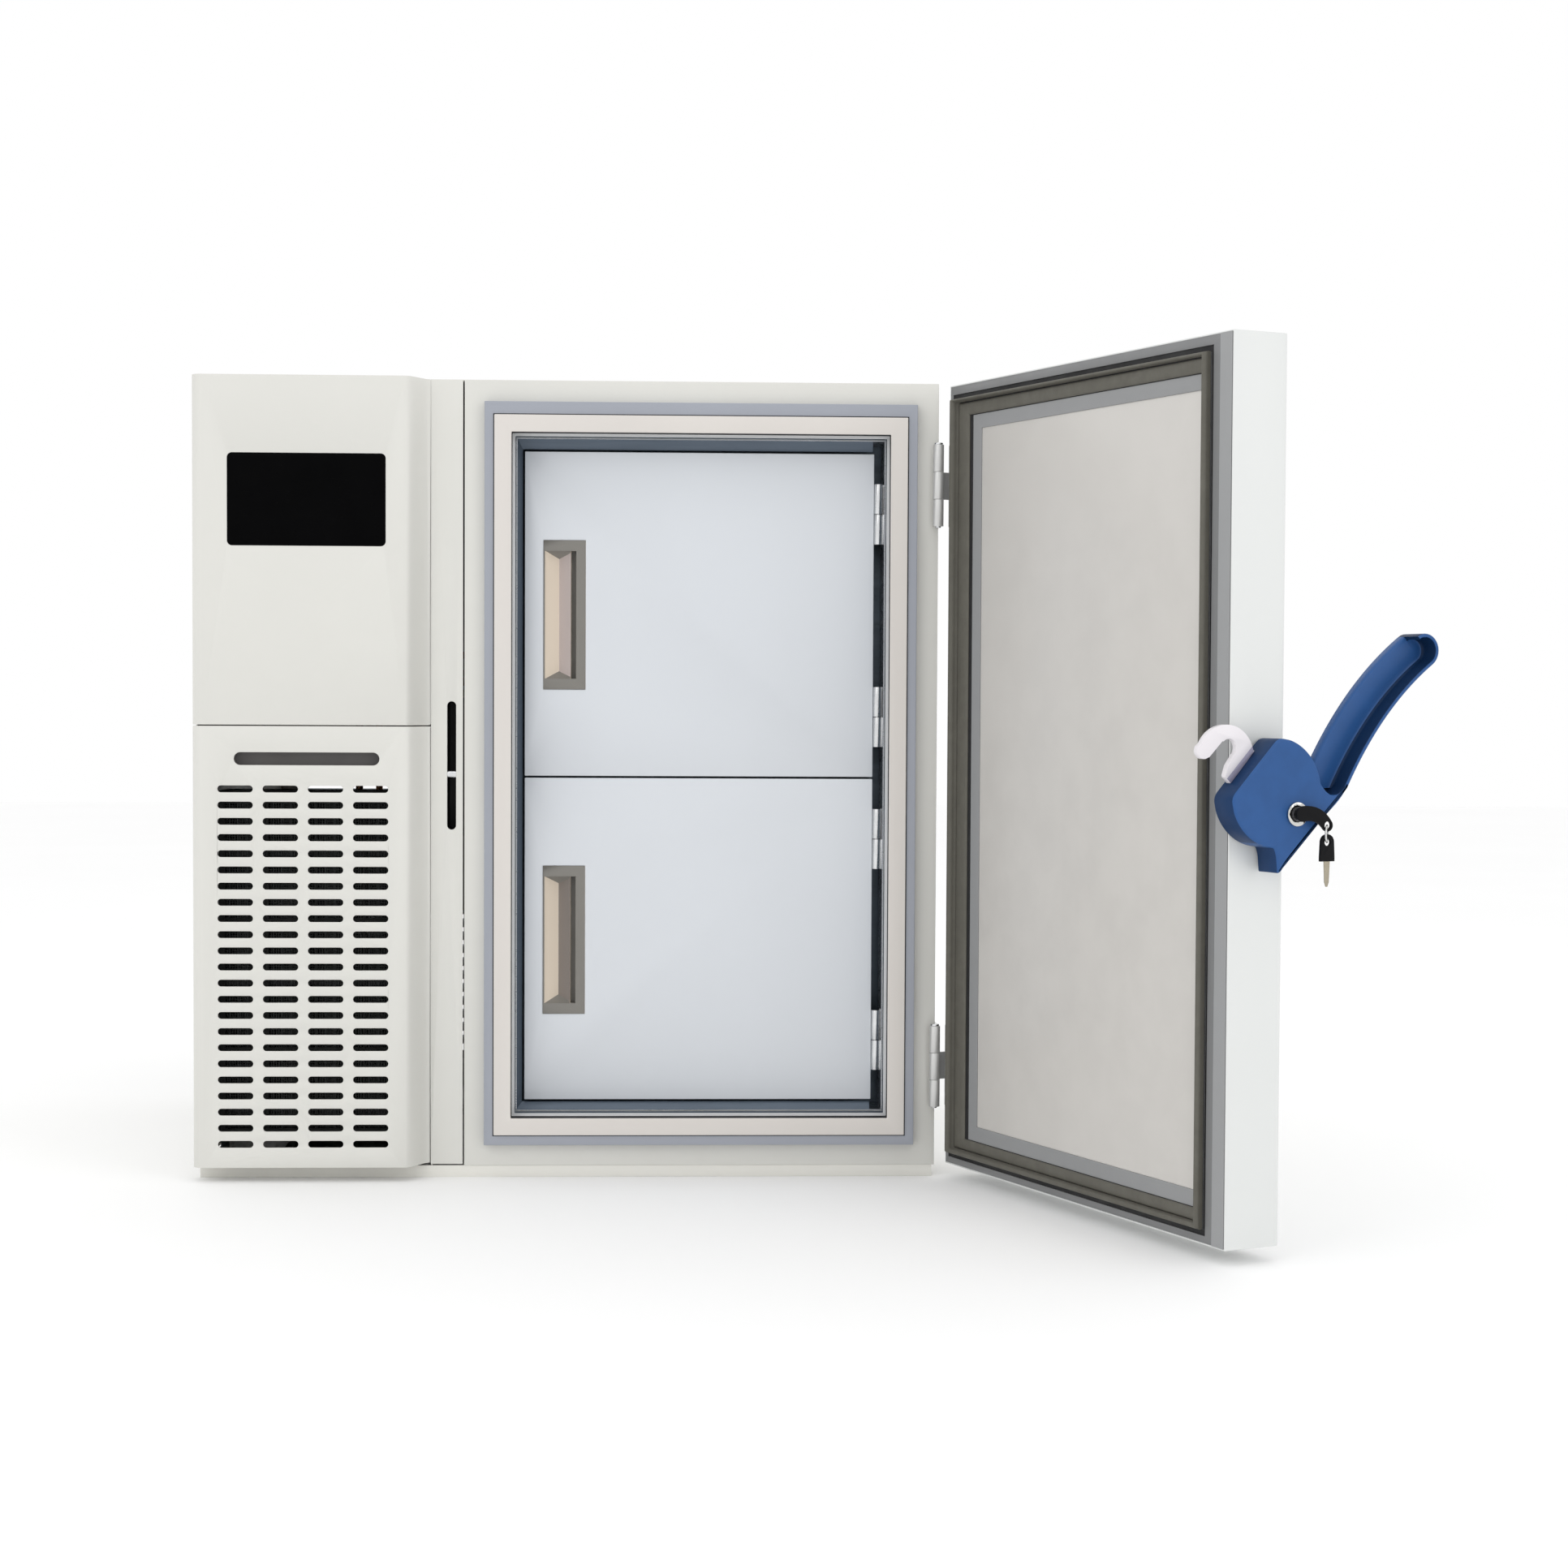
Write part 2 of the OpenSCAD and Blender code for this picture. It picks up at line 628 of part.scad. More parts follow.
module dust_filter() color("#55585a") at_front() {
    frame_ring(cond_x0, cond_x1, cond_z0, cond_z1, 6, 6, cond_y0 - 8, cond_y0 - 3);
    for (i = [1:7]) {
        z = cond_z0 + (cond_z1 - cond_z0) * i / 8;
        block(cond_x0 + 5, cond_x1 - 5, cond_y0 - 6, cond_y0 - 4, z - 1, z + 1);
    }
    for (i = [1:3]) {
        x = cond_x0 + (cond_x1 - cond_x0) * i / 4;
        block(x - 1, x + 1, cond_y0 - 6, cond_y0 - 4, cond_z0 + 5, cond_z1 - 5);
    }
    for (x = [cond_x0 + 8, cond_x1 - 14]) block(x, x + 6, cond_y0 - 3, cond_y0, cond_z0, cond_z0 + 6);
    for (x = [cond_x0 + 8, cond_x1 - 14]) block(x, x + 6, cond_y0 - 3, cond_y0, cond_z1 - 6, cond_z1);
}

module condenser() color("#a9adae") at_front() {
    for (x = [cond_x0, cond_x1 - 2]) block(x, x + 2, cond_y0, cond_y1, base_h, cond_z1);
    for (z = [cond_z0 - 6, cond_z1 - 2]) block(cond_x0, cond_x1, cond_y0, cond_y1, z, z + 2);
    for (i = [1:fins]) {
        x = cond_x0 + (cond_x1 - cond_x0) * i / (fins + 1);
        block(x - 0.4, x + 0.4, cond_y0 + 2, cond_y1 - 2, cond_z0 - 4, cond_z1 - 2);
    }
    for (i = [0:7], y = [cond_y0 + 12, cond_y1 - 12])
        rod([cond_x0, y, cond_z0 + 22 + i * 44], [cond_x1, y, cond_z0 + 22 + i * 44], tube_r);
}

fan_x = (cond_x0 + cond_x1) / 2;
fan_z = 214;
fan_y = cond_y1 + 22;
module fan_shroud() color("#2d2f31") at_front() {
    difference() {
        union() {
            block(cond_x0, cond_x1, cond_y1, cond_y1 + 3, cond_z0, cond_z1);
            translate([fan_x, cond_y1 + 3, fan_z]) rotate([-90, 0, 0]) cylinder(r = fan_r + 9, h = 36);
        }
        translate([fan_x, cond_y1 - 1, fan_z]) rotate([-90, 0, 0]) cylinder(r = fan_r + 5, h = 60);
    }
    for (a = [45, 135, 225, 315])
        translate([fan_x, cond_y1 + 35, fan_z]) rotate([0, a, 0])
            block(motor_r - 1, fan_r + 6.5, 0, 3, -4, 4);
}

motor_r = 28;
module fan_motor() color("#1c1d1f") at_front()
    translate([fan_x, cond_y1 + 34, fan_z]) rotate([-90, 0, 0]) {
        cylinder(r = motor_r - 1, h = 40);
        translate([0, 0, -26]) cylinder(r = 4, h = 27);
    }

module fan_blade() color("#3b3d40") at_front()
    translate([fan_x, cond_y1 + 8, fan_z]) rotate([-90, 0, 0])
        difference() {
            union() {
                cylinder(r = 20, h = 22);
                for (i = [0:fan_blades - 1]) rotate([0, 0, i * 360 / fan_blades]) intersection() {
                    translate([18, -22, 0]) rotate([32, 0, 0]) translate([0, 0, -3]) cube([fan_r, 54, 2.5]);
                    cylinder(r = fan_r, h = 24);
                }
            }
            translate([0, 0, -1]) cylinder(r = 4 + run_clear, h = 24);
        }

module compressor(place, tint) color(tint) at_front() translate(place) {
    translate([0, 0, 14]) rotate_extrude() polygon(concat(
        [[0, 0], [comp_r - 16, 0]],
        shift(ring_pts(16, -90, 0, 6), [comp_r - 16, 16]),
        shift(ring_pts(30, 0, 90, 8), [comp_r - 30, comp_h - 30]),
        [[0, comp_h]]));
    translate([0, 0, 14 + comp_h * 0.52]) cylinder(r = comp_r + 3, h = 5);
    translate([-comp_r, -comp_r, 8]) cube([2 * comp_r, 2 * comp_r, 6]);
    for (x = [-1, 1], y = [-1, 1]) translate([x * (comp_r - 10), y * (comp_r - 10), 0]) cylinder(r = 9, h = 8);
    translate([-comp_r - 10, -22, 90]) cube([20, 44, 52]);
}

comp_x = (left_x + seam_x) / 2;
comp_gap = (back_y - cond_y1 - 76 - 4 * (comp_r + 3)) / 3;
comp_y1 = cond_y1 + 76 + comp_gap + comp_r + 3;
comp_y2 = comp_y1 + 2 * (comp_r + 3) + comp_gap;
module first_compressor() compressor([comp_x, comp_y1, base_h], "#1e1f20");
module second_compressor() compressor([comp_x, comp_y2, base_h], "#26282a");

hx_z = 250;
hx_h = 250;
hx_y = back_y - 206.5;
hx_top = hx_z + hx_h;
hx_half = 52;
module heat_exchanger() color("#9fa3a4") at_front() {
    block(seam_x - 62, seam_x - 6, hx_y - hx_half, hx_y + hx_half, hx_z, hx_top);
    for (i = [0:9]) block(seam_x - 64, seam_x - 6, hx_y - hx_half - 2, hx_y + hx_half + 2,
                          hx_z + 14 + i * 24, hx_z + 18 + i * 24);
    for (z = [hx_z + 30, hx_z + 200]) block(seam_x - 6, seam_x, hx_y - 32, hx_y + 32, z, z + 20);
}

module refrigerant_pipes() color("#b87333") at_front() {
    pipe_run([[comp_x, comp_y1, comp_top], [comp_x, comp_y1, drier_top], [side_x, comp_y1, drier_top],
              [side_x, drier_y, drier_top], [side_x, drier_y, drier_low], [side_x, cond_y1 - 12, drier_low],
              [cond_x1, cond_y1 - 12, drier_low]], tube_r);
    pipe_run([[comp_x, comp_y2, comp_top], [comp_x, comp_y2, hx_top + 20], [hx_x, comp_y2, hx_top + 20],
              [hx_x, hx_y, hx_top + 20], [hx_x, hx_y, hx_top]], tube_r);
    pipe_run([[hx_x, hx_y - 22, hx_top], [hx_x, hx_y - 22, hx_top + 40], [seam_x, hx_y - 22, hx_top + 40]], tube_r);
    translate([side_x, drier_y, drier_low + 180]) cylinder(r = 14, h = 120);
    translate([hx_x, hx_y, hx_top + 5]) cylinder(r = 8, h = 10);
}
hx_x = seam_x - 34;
drier_low = 120;
drier_top = 470;
comp_top = base_h + 14 + comp_h;
side_x = cond_x1 + 12;
drier_y = 150;

box_x0 = bay_x0;
box_z0 = cab_h - 235;
box_x1 = seam_x - 68;
inlet_x = left_x + 80;
inlet_z = box_z0 + 60;
module electrical_box() color("#c9cccd") at_front()
    difference() {
        block(bay_x0, box_x1, back_y - 178.5, back_y, box_z0, box_z0 + 180);
        block(bay_x0 + 2, box_x1 - 2, back_y - 176.5, back_y + 1, box_z0 + 2, box_z0 + 178);
    }

module mains_inlet() color("#1a1a1c") at_front()
    difference() {
        union() {
            block(inlet_x - 24, inlet_x + 46, back_y - 26, cab_d, inlet_z - 18, inlet_z + 18);
            block(inlet_x - 28, inlet_x + 50, cab_d, cab_d + 2, inlet_z - 22, inlet_z + 22);
        }
        block(inlet_x - 14, inlet_x + 14, cab_d - 16, cab_d + 3, inlet_z - 10, inlet_z + 10);
        block(inlet_x + 22, inlet_x + 42, cab_d - 13, cab_d + 3, inlet_z - 14, inlet_z + 14);
        translate([inlet_x + 32, cab_d - 4, inlet_z]) rotate([0, 90, 0])
            cylinder(r = rocker_pin_r + run_clear, h = rocker_w + 3.2, center = true);
    }

rocker_w = 19.4;
rocker_pin_r = 1.6;
module power_rocker() color("#101012") at_front()
    translate([inlet_x + 32, cab_d - 4, inlet_z]) rotate([0, 90, 0]) {
        linear_extrude(rocker_w, center = true)
            polygon([[-12.5, 3], [0, 5.5], [12.5, 6.5], [12.5, 3], [3, -6], [-3, -6]]);
        cylinder(r = rocker_pin_r, h = rocker_w + 2.6, center = true);
    }

module access_port() color("#e6e6e2") at_front() {
    translate([port_x, liner_y1, port_z]) rotate([-90, 0, 0]) difference() {
        cylinder(r = port_r, h = cab_d - liner_y1);
        translate([0, 0, -1]) cylinder(r = port_r - 2.5, h = cab_d - liner_y1 + 4);
    }
    translate([port_x, cab_d, port_z]) rotate([-90, 0, 0]) cylinder(r = port_r + 6, h = 3);
    translate([port_x, cab_d - 40, port_z]) rotate([-90, 0, 0]) cylinder(r = port_r - 2.5, h = 40);
}

// Outer hinges
hinge_lows = [hinge_low_z, hinge_high_z];
mid_h = hinge_h / 3;
joint_gap = 0.3;
module knuckle(z0, z1, bore)
    translate([hinge_x, hinge_y, z0]) difference() {
        cylinder(r = knuckle_r, h = z1 - z0);
        translate([0, 0, -1]) cylinder(r = bore, h = z1 - z0 + 2);
    }

module cabinet_hinge_leaves() color("#9a9c9c") at_front()
    for (z = hinge_lows) {
        for (part = [[z, z + mid_h - joint_gap], [z + 2 * mid_h + joint_gap, z + hinge_h]])
            difference() {
                union() {
                    knuckle(part[0], part[1], pin_r + run_clear);
                    block(right_x, right_x + leaf_t, hinge_y + 1, 2, part[0], part[1]);
                }
                translate([hinge_x, hinge_y, part[0] - 1])
                    cylinder(r = pin_r + run_clear, h = part[1] - part[0] + 2);
            }
        block(right_x, right_x + leaf_t, 1, leaf_long, z, z + hinge_h);
    }

module door_hinge_pins() color("#b5b7b7") at_front()
    for (z = hinge_lows) translate([hinge_x, hinge_y, z - 1.5]) {
        cylinder(r = pin_r, h = hinge_h + 1.5);
        translate([0, 0, hinge_h + 1.5]) cylinder(r = pin_r + 1.5, h = 2);
    }

module door_hinge_leaves() color("#9a9c9c") turned_open()
    for (z = hinge_lows) {
        difference() {
            union() {
                knuckle(z + mid_h, z + 2 * mid_h, pin_r + run_clear);
                block(right_x, right_x + leaf_t, hinge_y - 16, hinge_y - 1, z + mid_h, z + 2 * mid_h);
            }
            translate([hinge_x, hinge_y, z]) cylinder(r = pin_r + run_clear, h = hinge_h);
        }
        block(right_x, right_x + leaf_t, door_y1 - door_leaf_long, door_y1 - 0.5, z, z + hinge_h);
    }

// Outer door
function door_profile(w) = concat(
    [[door_x0 + w, door_y1], [door_x0 + w, door_y0 + door_r]],
    shift(ring_pts(door_r - w, 180, 270, 6), [door_x0 + door_r, door_y0 + door_r]),
    shift(ring_pts(door_r - w, 270, 360, 6), [door_x1 - door_r, door_y0 + door_r]),
    [[door_x1 - w, door_y1]]
);

module door_shell() color("#e6e9e8") turned_open()
    difference() {
        translate([0, 0, door_z0]) linear_extrude(door_z1 - door_z0) polygon(door_profile(0));
        translate([0, 0, door_z0 + sheet]) linear_extrude(door_z1 - door_z0 - 2 * sheet)
            polygon(concat([[door_x0 + sheet, door_y1 + 1]], door_profile(sheet),
                           [[door_x1 - sheet, door_y1 + 1]]));
    }

module door_foam() color("#e8d9a0") turned_open()
    translate([0, 0, door_z0 + sheet]) linear_extrude(door_z1 - door_z0 - 2 * sheet)
        polygon([for (p = door_profile(sheet)) [p[0], min(p[1], door_y1 - border_t)]]);

dx0 = door_x0 + sheet;
dx1 = door_x1 - sheet;
dz0 = door_z0 + sheet;
dz1 = door_z1 - sheet;
gasket_x0 = door_x0 + border_w + 2;
gasket_x1 = door_x1 - border_w - 2;
gasket_z0 = door_z0 + border_w - 2;
gasket_z1 = door_z1 - border_w + 2;
gasket_w = bead_w + flange_w;
panel_x0 = gasket_x0 + gasket_w + strip_w;
panel_x1 = gasket_x1 - gasket_w - strip_w;
panel_z0 = gasket_z0 + gasket_w - 12 + strip_w;
panel_z1 = gasket_z1 - gasket_w + 12 - strip_w;

module door_border() color("#919394") turned_open()
    difference() {
        block(dx0, dx1, door_y1 - border_t, door_y1, dz0, dz1);
        block(panel_x0, panel_x1, door_y1 - border_t - 1, door_y1 + 1, panel_z0, panel_z1);
        frame_ring(door_x0 + 7, door_x1 - 7, door_z0 + 7, door_z1 - 7, 4, 4, door_y1 - 1.2, door_y1 + 1);
    }

module door_liner() color("#c8c5c0") turned_open()
    block(panel_x0, panel_x1, door_y1 - border_t, door_y1 - 0.8, panel_z0, panel_z1);

module door_gasket() color("#5f5c55") turned_open() {
    flange_z = gasket_w - 12;
    frame_ring(gasket_x0, gasket_x1, gasket_z0, gasket_z1, gasket_w, flange_z, door_y1, door_y1 + 3);
    frame_ring(gasket_x0, gasket_x1, gasket_z0, gasket_z1, bead_w, bead_w - 1.6, door_y1 + 3, door_y1 + gasket_h);
}

// Latch
module latch_plate_outline()
    translate([latch_q, latch_z]) {
        difference() {
            circle(r = latch_r, $fn = 72);
            rotate(flat_angle) translate([hook_flat, -80]) square([60, 160]);
        }
        polygon([[0, 0], [0, -55], [0.8, -63], [1.4, -69.8], [5.5, -68], [9.4, -61.6], [20.8, -49.6],
                 [38, -32.1], [54.2, -18.2], [65.8, -5.2], [72, 2], [57.5, -2.2], [51.6, 1.6], [46.8, 7.3]]);
    }

// The lever follows one smooth curve from the housing to its rounded end
lever_ends = [[62, 10], [101, 83], [160, 124]];
lever_n = 12;
function lever_mid(t) = [latch_q, latch_z] + pow(1 - t, 2) * lever_ends[0]
    + 2 * t * (1 - t) * lever_ends[1] + t * t * lever_ends[2];
function lever_dir(t) = let (d = lever_mid(t + 0.01) - lever_mid(t - 0.01)) d / norm(d);
function lever_side(t, w) = let (d = lever_dir(t)) lever_mid(t) + w * [-d[1], d[0]];
lever_half = 15;
lever_web = 9;
lever_wall = 3.2;
function lever_outline(a, b) = concat(
    [for (i = [0:lever_n]) lever_side(i / lever_n, a)],
    [for (i = [lever_n:-1:0]) lever_side(i / lever_n, b)]
);

module latch_handle() color("#37598f") on_edge()
    difference() {
        translate([0, 0, latch_s]) {
            linear_extrude(latch_t) latch_plate_outline();
            linear_extrude(lever_web) {
                polygon([[latch_q + 30, latch_z + 8], [latch_q + 60, latch_z - 12], lever_side(0, -lever_half),
                         lever_side(0.08, -lever_half), lever_side(0.08, lever_half), lever_side(0, lever_half)]);
                polygon(lever_outline(lever_half, -lever_half));
                translate(lever_mid(1)) circle(r = lever_half, $fn = 48);
            }
            linear_extrude(latch_t) difference() {
                union() {
                    polygon([[latch_q + 62, latch_z - 9], lever_side(0, -lever_half),
                             lever_side(0.08, 4 - lever_half), [latch_q + 58, latch_z - 3]]);
                    polygon(lever_outline(0, -lever_half));
                    translate(lever_mid(1)) circle(r = lever_half, $fn = 48);
                }
                polygon(lever_outline(lever_half + 1, lever_wall - lever_half));
                translate(lever_mid(1)) circle(r = lever_half - lever_wall, $fn = 48);
            }
        }
        translate([latch_q, latch_z, 0]) cylinder(r = latch_pin_r + run_clear, h = latch_s + 12);
        translate([lock_q, lock_z, plate_z - 22]) cylinder(r = lock_r - 1.5, h = 30);
        translate([0, 0, hook_s - 0.1]) linear_extrude(hook_t + 0.2) hook_tail(0.1);
    }

tail_half = 18;
tail_in = 10;
module hook_tail(grow)
    translate([latch_q, latch_z]) rotate(flat_angle)
        translate([hook_flat - tail_in - grow, -tail_half - grow])
            square([tail_in + 2 + grow, 2 * (tail_half + grow)]);

// The hook, drawn with the line from the pivot to its throat along x
throat_out = 54.4;
hook_outer_r = 29;
hook_outer_place = [50, 8];
module hook_outline()
    translate([latch_q, latch_z]) rotate(throat_angle) {
        difference() {
            union() {
                intersection() {
                    translate(hook_outer_place) circle(r = hook_outer_r, $fn = 72);
                    translate([hook_flat, -24]) square([60, 44]);
                }
                translate([71, 19.5]) circle(r = 7, $fn = 32);
            }
            translate([throat_out, 0]) circle(r = throat_r, $fn = 48);
            polygon([[throat_out - throat_r, 0], [throat_out + throat_r + 1, 0], [throat_out + throat_r + 1, 40],
                     [30, 40], [31, 26], [40.6, 18.9], [44.6, 11]]);
        }
    }
throat_angle = 135.3;

module latch_hook() color("#ece8ec") on_edge()
    translate([0, 0, hook_s]) linear_extrude(hook_t) {
        difference() {
            hook_outline();
            translate([latch_q, latch_z]) rotate(flat_angle) translate([-60, -60]) square([60 + hook_flat, 120]);
        }
        hook_tail(0);
    }

module latch_base() color("#cfd2d3") on_edge() {
    translate([0, 0, 0]) linear_extrude(latch_base_t) difference() {
        translate([latch_q, latch_z]) circle(r = 30);
        for (a = [45:90:315]) translate([latch_q, latch_z] + 22 * [cos(a), sin(a)]) circle(r = 2.2, $fn = 24);
    }
    translate([latch_q, latch_z, latch_base_t]) cylinder(r = latch_pin_r, h = 11);
}

module lock_barrel() color("#d5d7d8") on_edge()
    translate([lock_q, lock_z, 0]) difference() {
        union() {
            translate([0, 0, plate_z - 21.7]) cylinder(r = lock_r - 1.5, h = 22);
            translate([0, 0, plate_z]) cylinder(r = lock_r, h = 2.5);
        }
        translate([0, 0, plate_z - 18]) cylinder(r = 6 + run_clear, h = 40);
    }

module lock_plug() color("#a8abac") on_edge()
    translate([lock_q, lock_z, plate_z - 17.7]) difference() {
        cylinder(r = 6, h = 21.2);
        translate([-1.2, -4.2, 6]) cube([2.4, 8.4, 40]);
    }

// Key with its head folded aside, drawn from the lock's middle
key_s = plate_z + 3.6;
key_neck = 3.2;
neck_r = 4.6;
head_t = 3;
head_path = [[0, 0.5], [17, 3], [26.3, -9.7]];
head_half = 6.8;
head_taper = 1.4;
head_steps = 8;
ring_hole_r = 3.4;
function head_mid(t) = pow(1 - t, 2) * head_path[0] + 2 * t * (1 - t) * head_path[1] + t * t * head_path[2];
function head_side(t, side) =
    let (d = head_mid(t + 0.01) - head_mid(t - 0.01))
    head_mid(t) + side * (head_half - head_taper * t) * [-d[1], d[0]] / norm(d);
module key() color("#151516") on_edge()
    translate([lock_q, lock_z, key_s]) {
        translate([-1, -4, -14]) cube([2, 8, 14.2]);
        cylinder(r = neck_r, h = key_neck + 0.5);
        translate([0, 0, key_neck]) linear_extrude(head_t) difference() {
            union() {
                polygon(concat([for (i = [0:head_steps]) head_side(i / head_steps, 1)],
                               [for (i = [head_steps:-1:0]) head_side(i / head_steps, -1)]));
                translate(head_mid(0)) circle(r = head_half, $fn = 32);
                translate(head_mid(1)) circle(r = head_half - head_taper, $fn = 32);
            }
            translate(head_mid(1)) circle(r = ring_hole_r, $fn = 24);
        }
    }

// Spare key, hanging on a split ring in the head's hole
ring_r = 7.3;
ring_wire = 0.9;
ring_turn = 45;
spare_t = 2.6;
spare_half = 7.65;
spare_top = 7;
spare_low = 16.6;
blade_t = 1.2;
blade_long = 22;
module spare_key() color("#1a1a1b") on_edge()
    translate(concat([lock_q, lock_z] + head_mid(1), [key_s + key_neck + head_t / 2])) {
        translate([0, -ring_r, 0]) rotate([0, ring_turn, 0]) rotate_extrude()
            translate([ring_r, 0]) circle(r = ring_wire, $fn = 16);
        translate([0, -2 * ring_r, 0]) {
            translate([0, 0, -spare_t / 2]) linear_extrude(spare_t) difference() {
                union() {
                    circle(r = spare_top, $fn = 32);
                    polygon([[-spare_top, 0], [-spare_half, -12], [-spare_half, -spare_low],
                             [spare_half, -spare_low], [spare_half, -12], [spare_top, 0]]);
                }
                circle(r = ring_hole_r - 0.2, $fn = 24);
            }
            translate([0, -spare_low, -blade_t / 2]) linear_extrude(blade_t)
                polygon([[-3.2, 1], [3.2, 1], [2.3, 4 - blade_long], [0.8, -blade_long],
                         [-0.8, -blade_long], [-2.3, 4 - blade_long]]);
        }
    }

// Inner doors
module inner_door(z0, z1, tray_z) at_front()
    difference() {
        block(door1_x0, door1_x1, inner_y, inner_y + inner_t, z0, z1);
        block(door1_x0 + tray_in, door1_x0 + tray_in + tray_w, inner_y - 1, inner_y + tray_d + 2,
              tray_z, tray_z + tray_h);
    }

module upper_inner_door() color("#dadee4") inner_door(up_door_z0, up_door_z1, up_door_z0 + tray_low);
module lower_inner_door() color("#dadee4") inner_door(low_door_z0, low_door_z1, low_door_z0 + tray_low);

// The pull is a V-shaped valley with sloping ends and a finger slot along its right
tray_side = 1.5;
tray_end = 11;
tray_valley = 14;
valley_w = 30.5;
valley_end = 8;
grip_w = 5.5;
module pull_tray(tray_z) color("#82807a") at_front()
    translate([door1_x0 + tray_in, inner_y, tray_z]) difference() {
        translate([0, -0.8, 0]) cube([tray_w, tray_d + 2.8, tray_h]);
        intersection() {
            translate([tray_side, 0, 0]) linear_extrude(tray_h)
                polygon([[0, -1], [0, 0], [tray_valley, tray_d - 4], [valley_w, 0], [valley_w, -1]]);
            translate([0, 0, tray_end]) rotate([90, 0, 90]) linear_extrude(tray_w)
                polygon([[-1, 0], [0, 0], [tray_d - 4, valley_end], [tray_d - 4, tray_h - 2 * tray_end - valley_end],
                         [0, tray_h - 2 * tray_end], [-1, tray_h - 2 * tray_end]]);
        }
        translate([tray_side + valley_w - grip_w + 1.5, -1, tray_end])
            cube([grip_w, tray_d - 1, tray_h - 2 * tray_end]);
    }

module upper_pull_tray() pull_tray(up_door_z0 + tray_low);
module lower_pull_tray() pull_tray(low_door_z0 + tray_low);

seal_w = 9;
module inner_door_seals() color("#2b2d30") at_front()
    for (z = [[low_door_z0, low_door_z1], [up_door_z0, up_door_z1]])
        frame_ring(door1_x0 + 2, door1_x1 - 4, z[0] + 2, z[1] - 2, seal_w, seal_w,
                   inner_y + inner_t + fit, stop_y);

inner_hinges_low = [low_door_z0 + inner_hinge_in, low_door_z1 - inner_hinge_in - inner_hinge_h];
inner_hinges_up = [up_door_z0 + inner_hinge_in, up_door_z1 - inner_hinge_in - inner_hinge_h];

module inner_hinge_frames() color("#cfd0d0") at_front()
    for (z = concat(inner_hinges_low, inner_hinges_up)) {
        half = inner_hinge_h / 2 - joint_gap;
        translate([inner_axis_x, inner_axis_y, z]) cylinder(r = inner_knuckle_r, h = half);
        translate([inner_axis_x, inner_axis_y, z]) cylinder(r = inner_pin_r, h = inner_hinge_h - 4);
        block(in_x1 - 1.5, in_x1, inner_axis_y - 3, inner_axis_y + 8, z, z + half);
        block(in_x1 - 1.5, in_x1, inner_axis_y + 6, inner_axis_y + 26, z, z + inner_hinge_h);
        block(inner_axis_x, in_x1, inner_axis_y - 1, inner_axis_y + 1, z, z + half);
    }

module door_side_leaves(lows) color("#cfd0d0") at_front()
    for (z = lows) {
        z0 = z + inner_hinge_h / 2 + joint_gap;
        z1 = z + inner_hinge_h;
        difference() {
            union() {
                translate([inner_axis_x, inner_axis_y, z0]) cylinder(r = inner_knuckle_r, h = z1 - z0);
                block(door1_x1, inner_axis_x, inner_axis_y + 1, inner_axis_y + 3, z0, z1);
                block(door1_x1, door1_x1 + 1.5, inner_axis_y + 1, inner_axis_y + 26, z0, z1);
            }
            translate([inner_axis_x, inner_axis_y, z0 - 1])
                cylinder(r = inner_pin_r + run_clear, h = z1 - z0 - 2.5);
        }
    }

module upper_hinge_leaves() door_side_leaves(inner_hinges_up);
module lower_hinge_leaves() door_side_leaves(inner_hinges_low);

base_tray();
levelling_feet();
top_panel();
left_panel();
right_panel();
rear_panel();
rear_grille();
bay_divider();
insulation_foam();
front_frame();
seat_ring();
breaker_frame();
inner_liner();
stop_frame();
storage_shelf();
evaporator_coil();
latch_strip();
slot_pocket();
strike_pin();
upper_front_panel();
touch_display();
service_cover();
finger_recess();
cover_pivots();
dust_filter();
condenser();
fan_shroud();
fan_motor();
fan_blade();
first_compressor();
second_compressor();
heat_exchanger();
refrigerant_pipes();
electrical_box();
mains_inlet();
power_rocker();
access_port();
cabinet_hinge_leaves();
door_hinge_pins();
inner_hinge_frames();
door_shell();
door_foam();
door_border();
door_liner();
door_gasket();
door_hinge_leaves();
latch_base();
latch_handle();
latch_hook();
lock_barrel();
lock_plug();
key();
spare_key();
upper_inner_door();
lower_inner_door();
upper_pull_tray();
lower_pull_tray();
upper_hinge_leaves();
lower_hinge_leaves();
inner_door_seals();
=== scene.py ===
"""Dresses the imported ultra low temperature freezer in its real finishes, with a studio and a camera."""

import json
import math

import bmesh
import bpy
from bpy.props import FloatProperty, FloatVectorProperty, IntProperty, PointerProperty
from bpy.types import Operator, Panel, PropertyGroup
from mathutils import Matrix, Vector


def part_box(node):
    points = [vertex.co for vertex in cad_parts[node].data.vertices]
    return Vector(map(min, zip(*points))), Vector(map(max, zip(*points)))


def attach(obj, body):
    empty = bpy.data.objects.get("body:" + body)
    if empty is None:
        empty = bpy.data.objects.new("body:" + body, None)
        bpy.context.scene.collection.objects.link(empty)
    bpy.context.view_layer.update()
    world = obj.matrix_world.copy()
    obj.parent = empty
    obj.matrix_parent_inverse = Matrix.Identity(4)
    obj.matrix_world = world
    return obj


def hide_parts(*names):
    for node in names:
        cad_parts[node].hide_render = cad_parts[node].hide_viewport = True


bl_info = {
    "name": "Ultra Low Temperature Freezer",
    "version": (1, 0, 0),
    "blender": (4, 5, 0),
    "location": "3D View > Sidebar > Freezer",
    "description": "Finishes, fine detail and a studio for the packed under-counter deep freezer",
    "category": "Object",
}

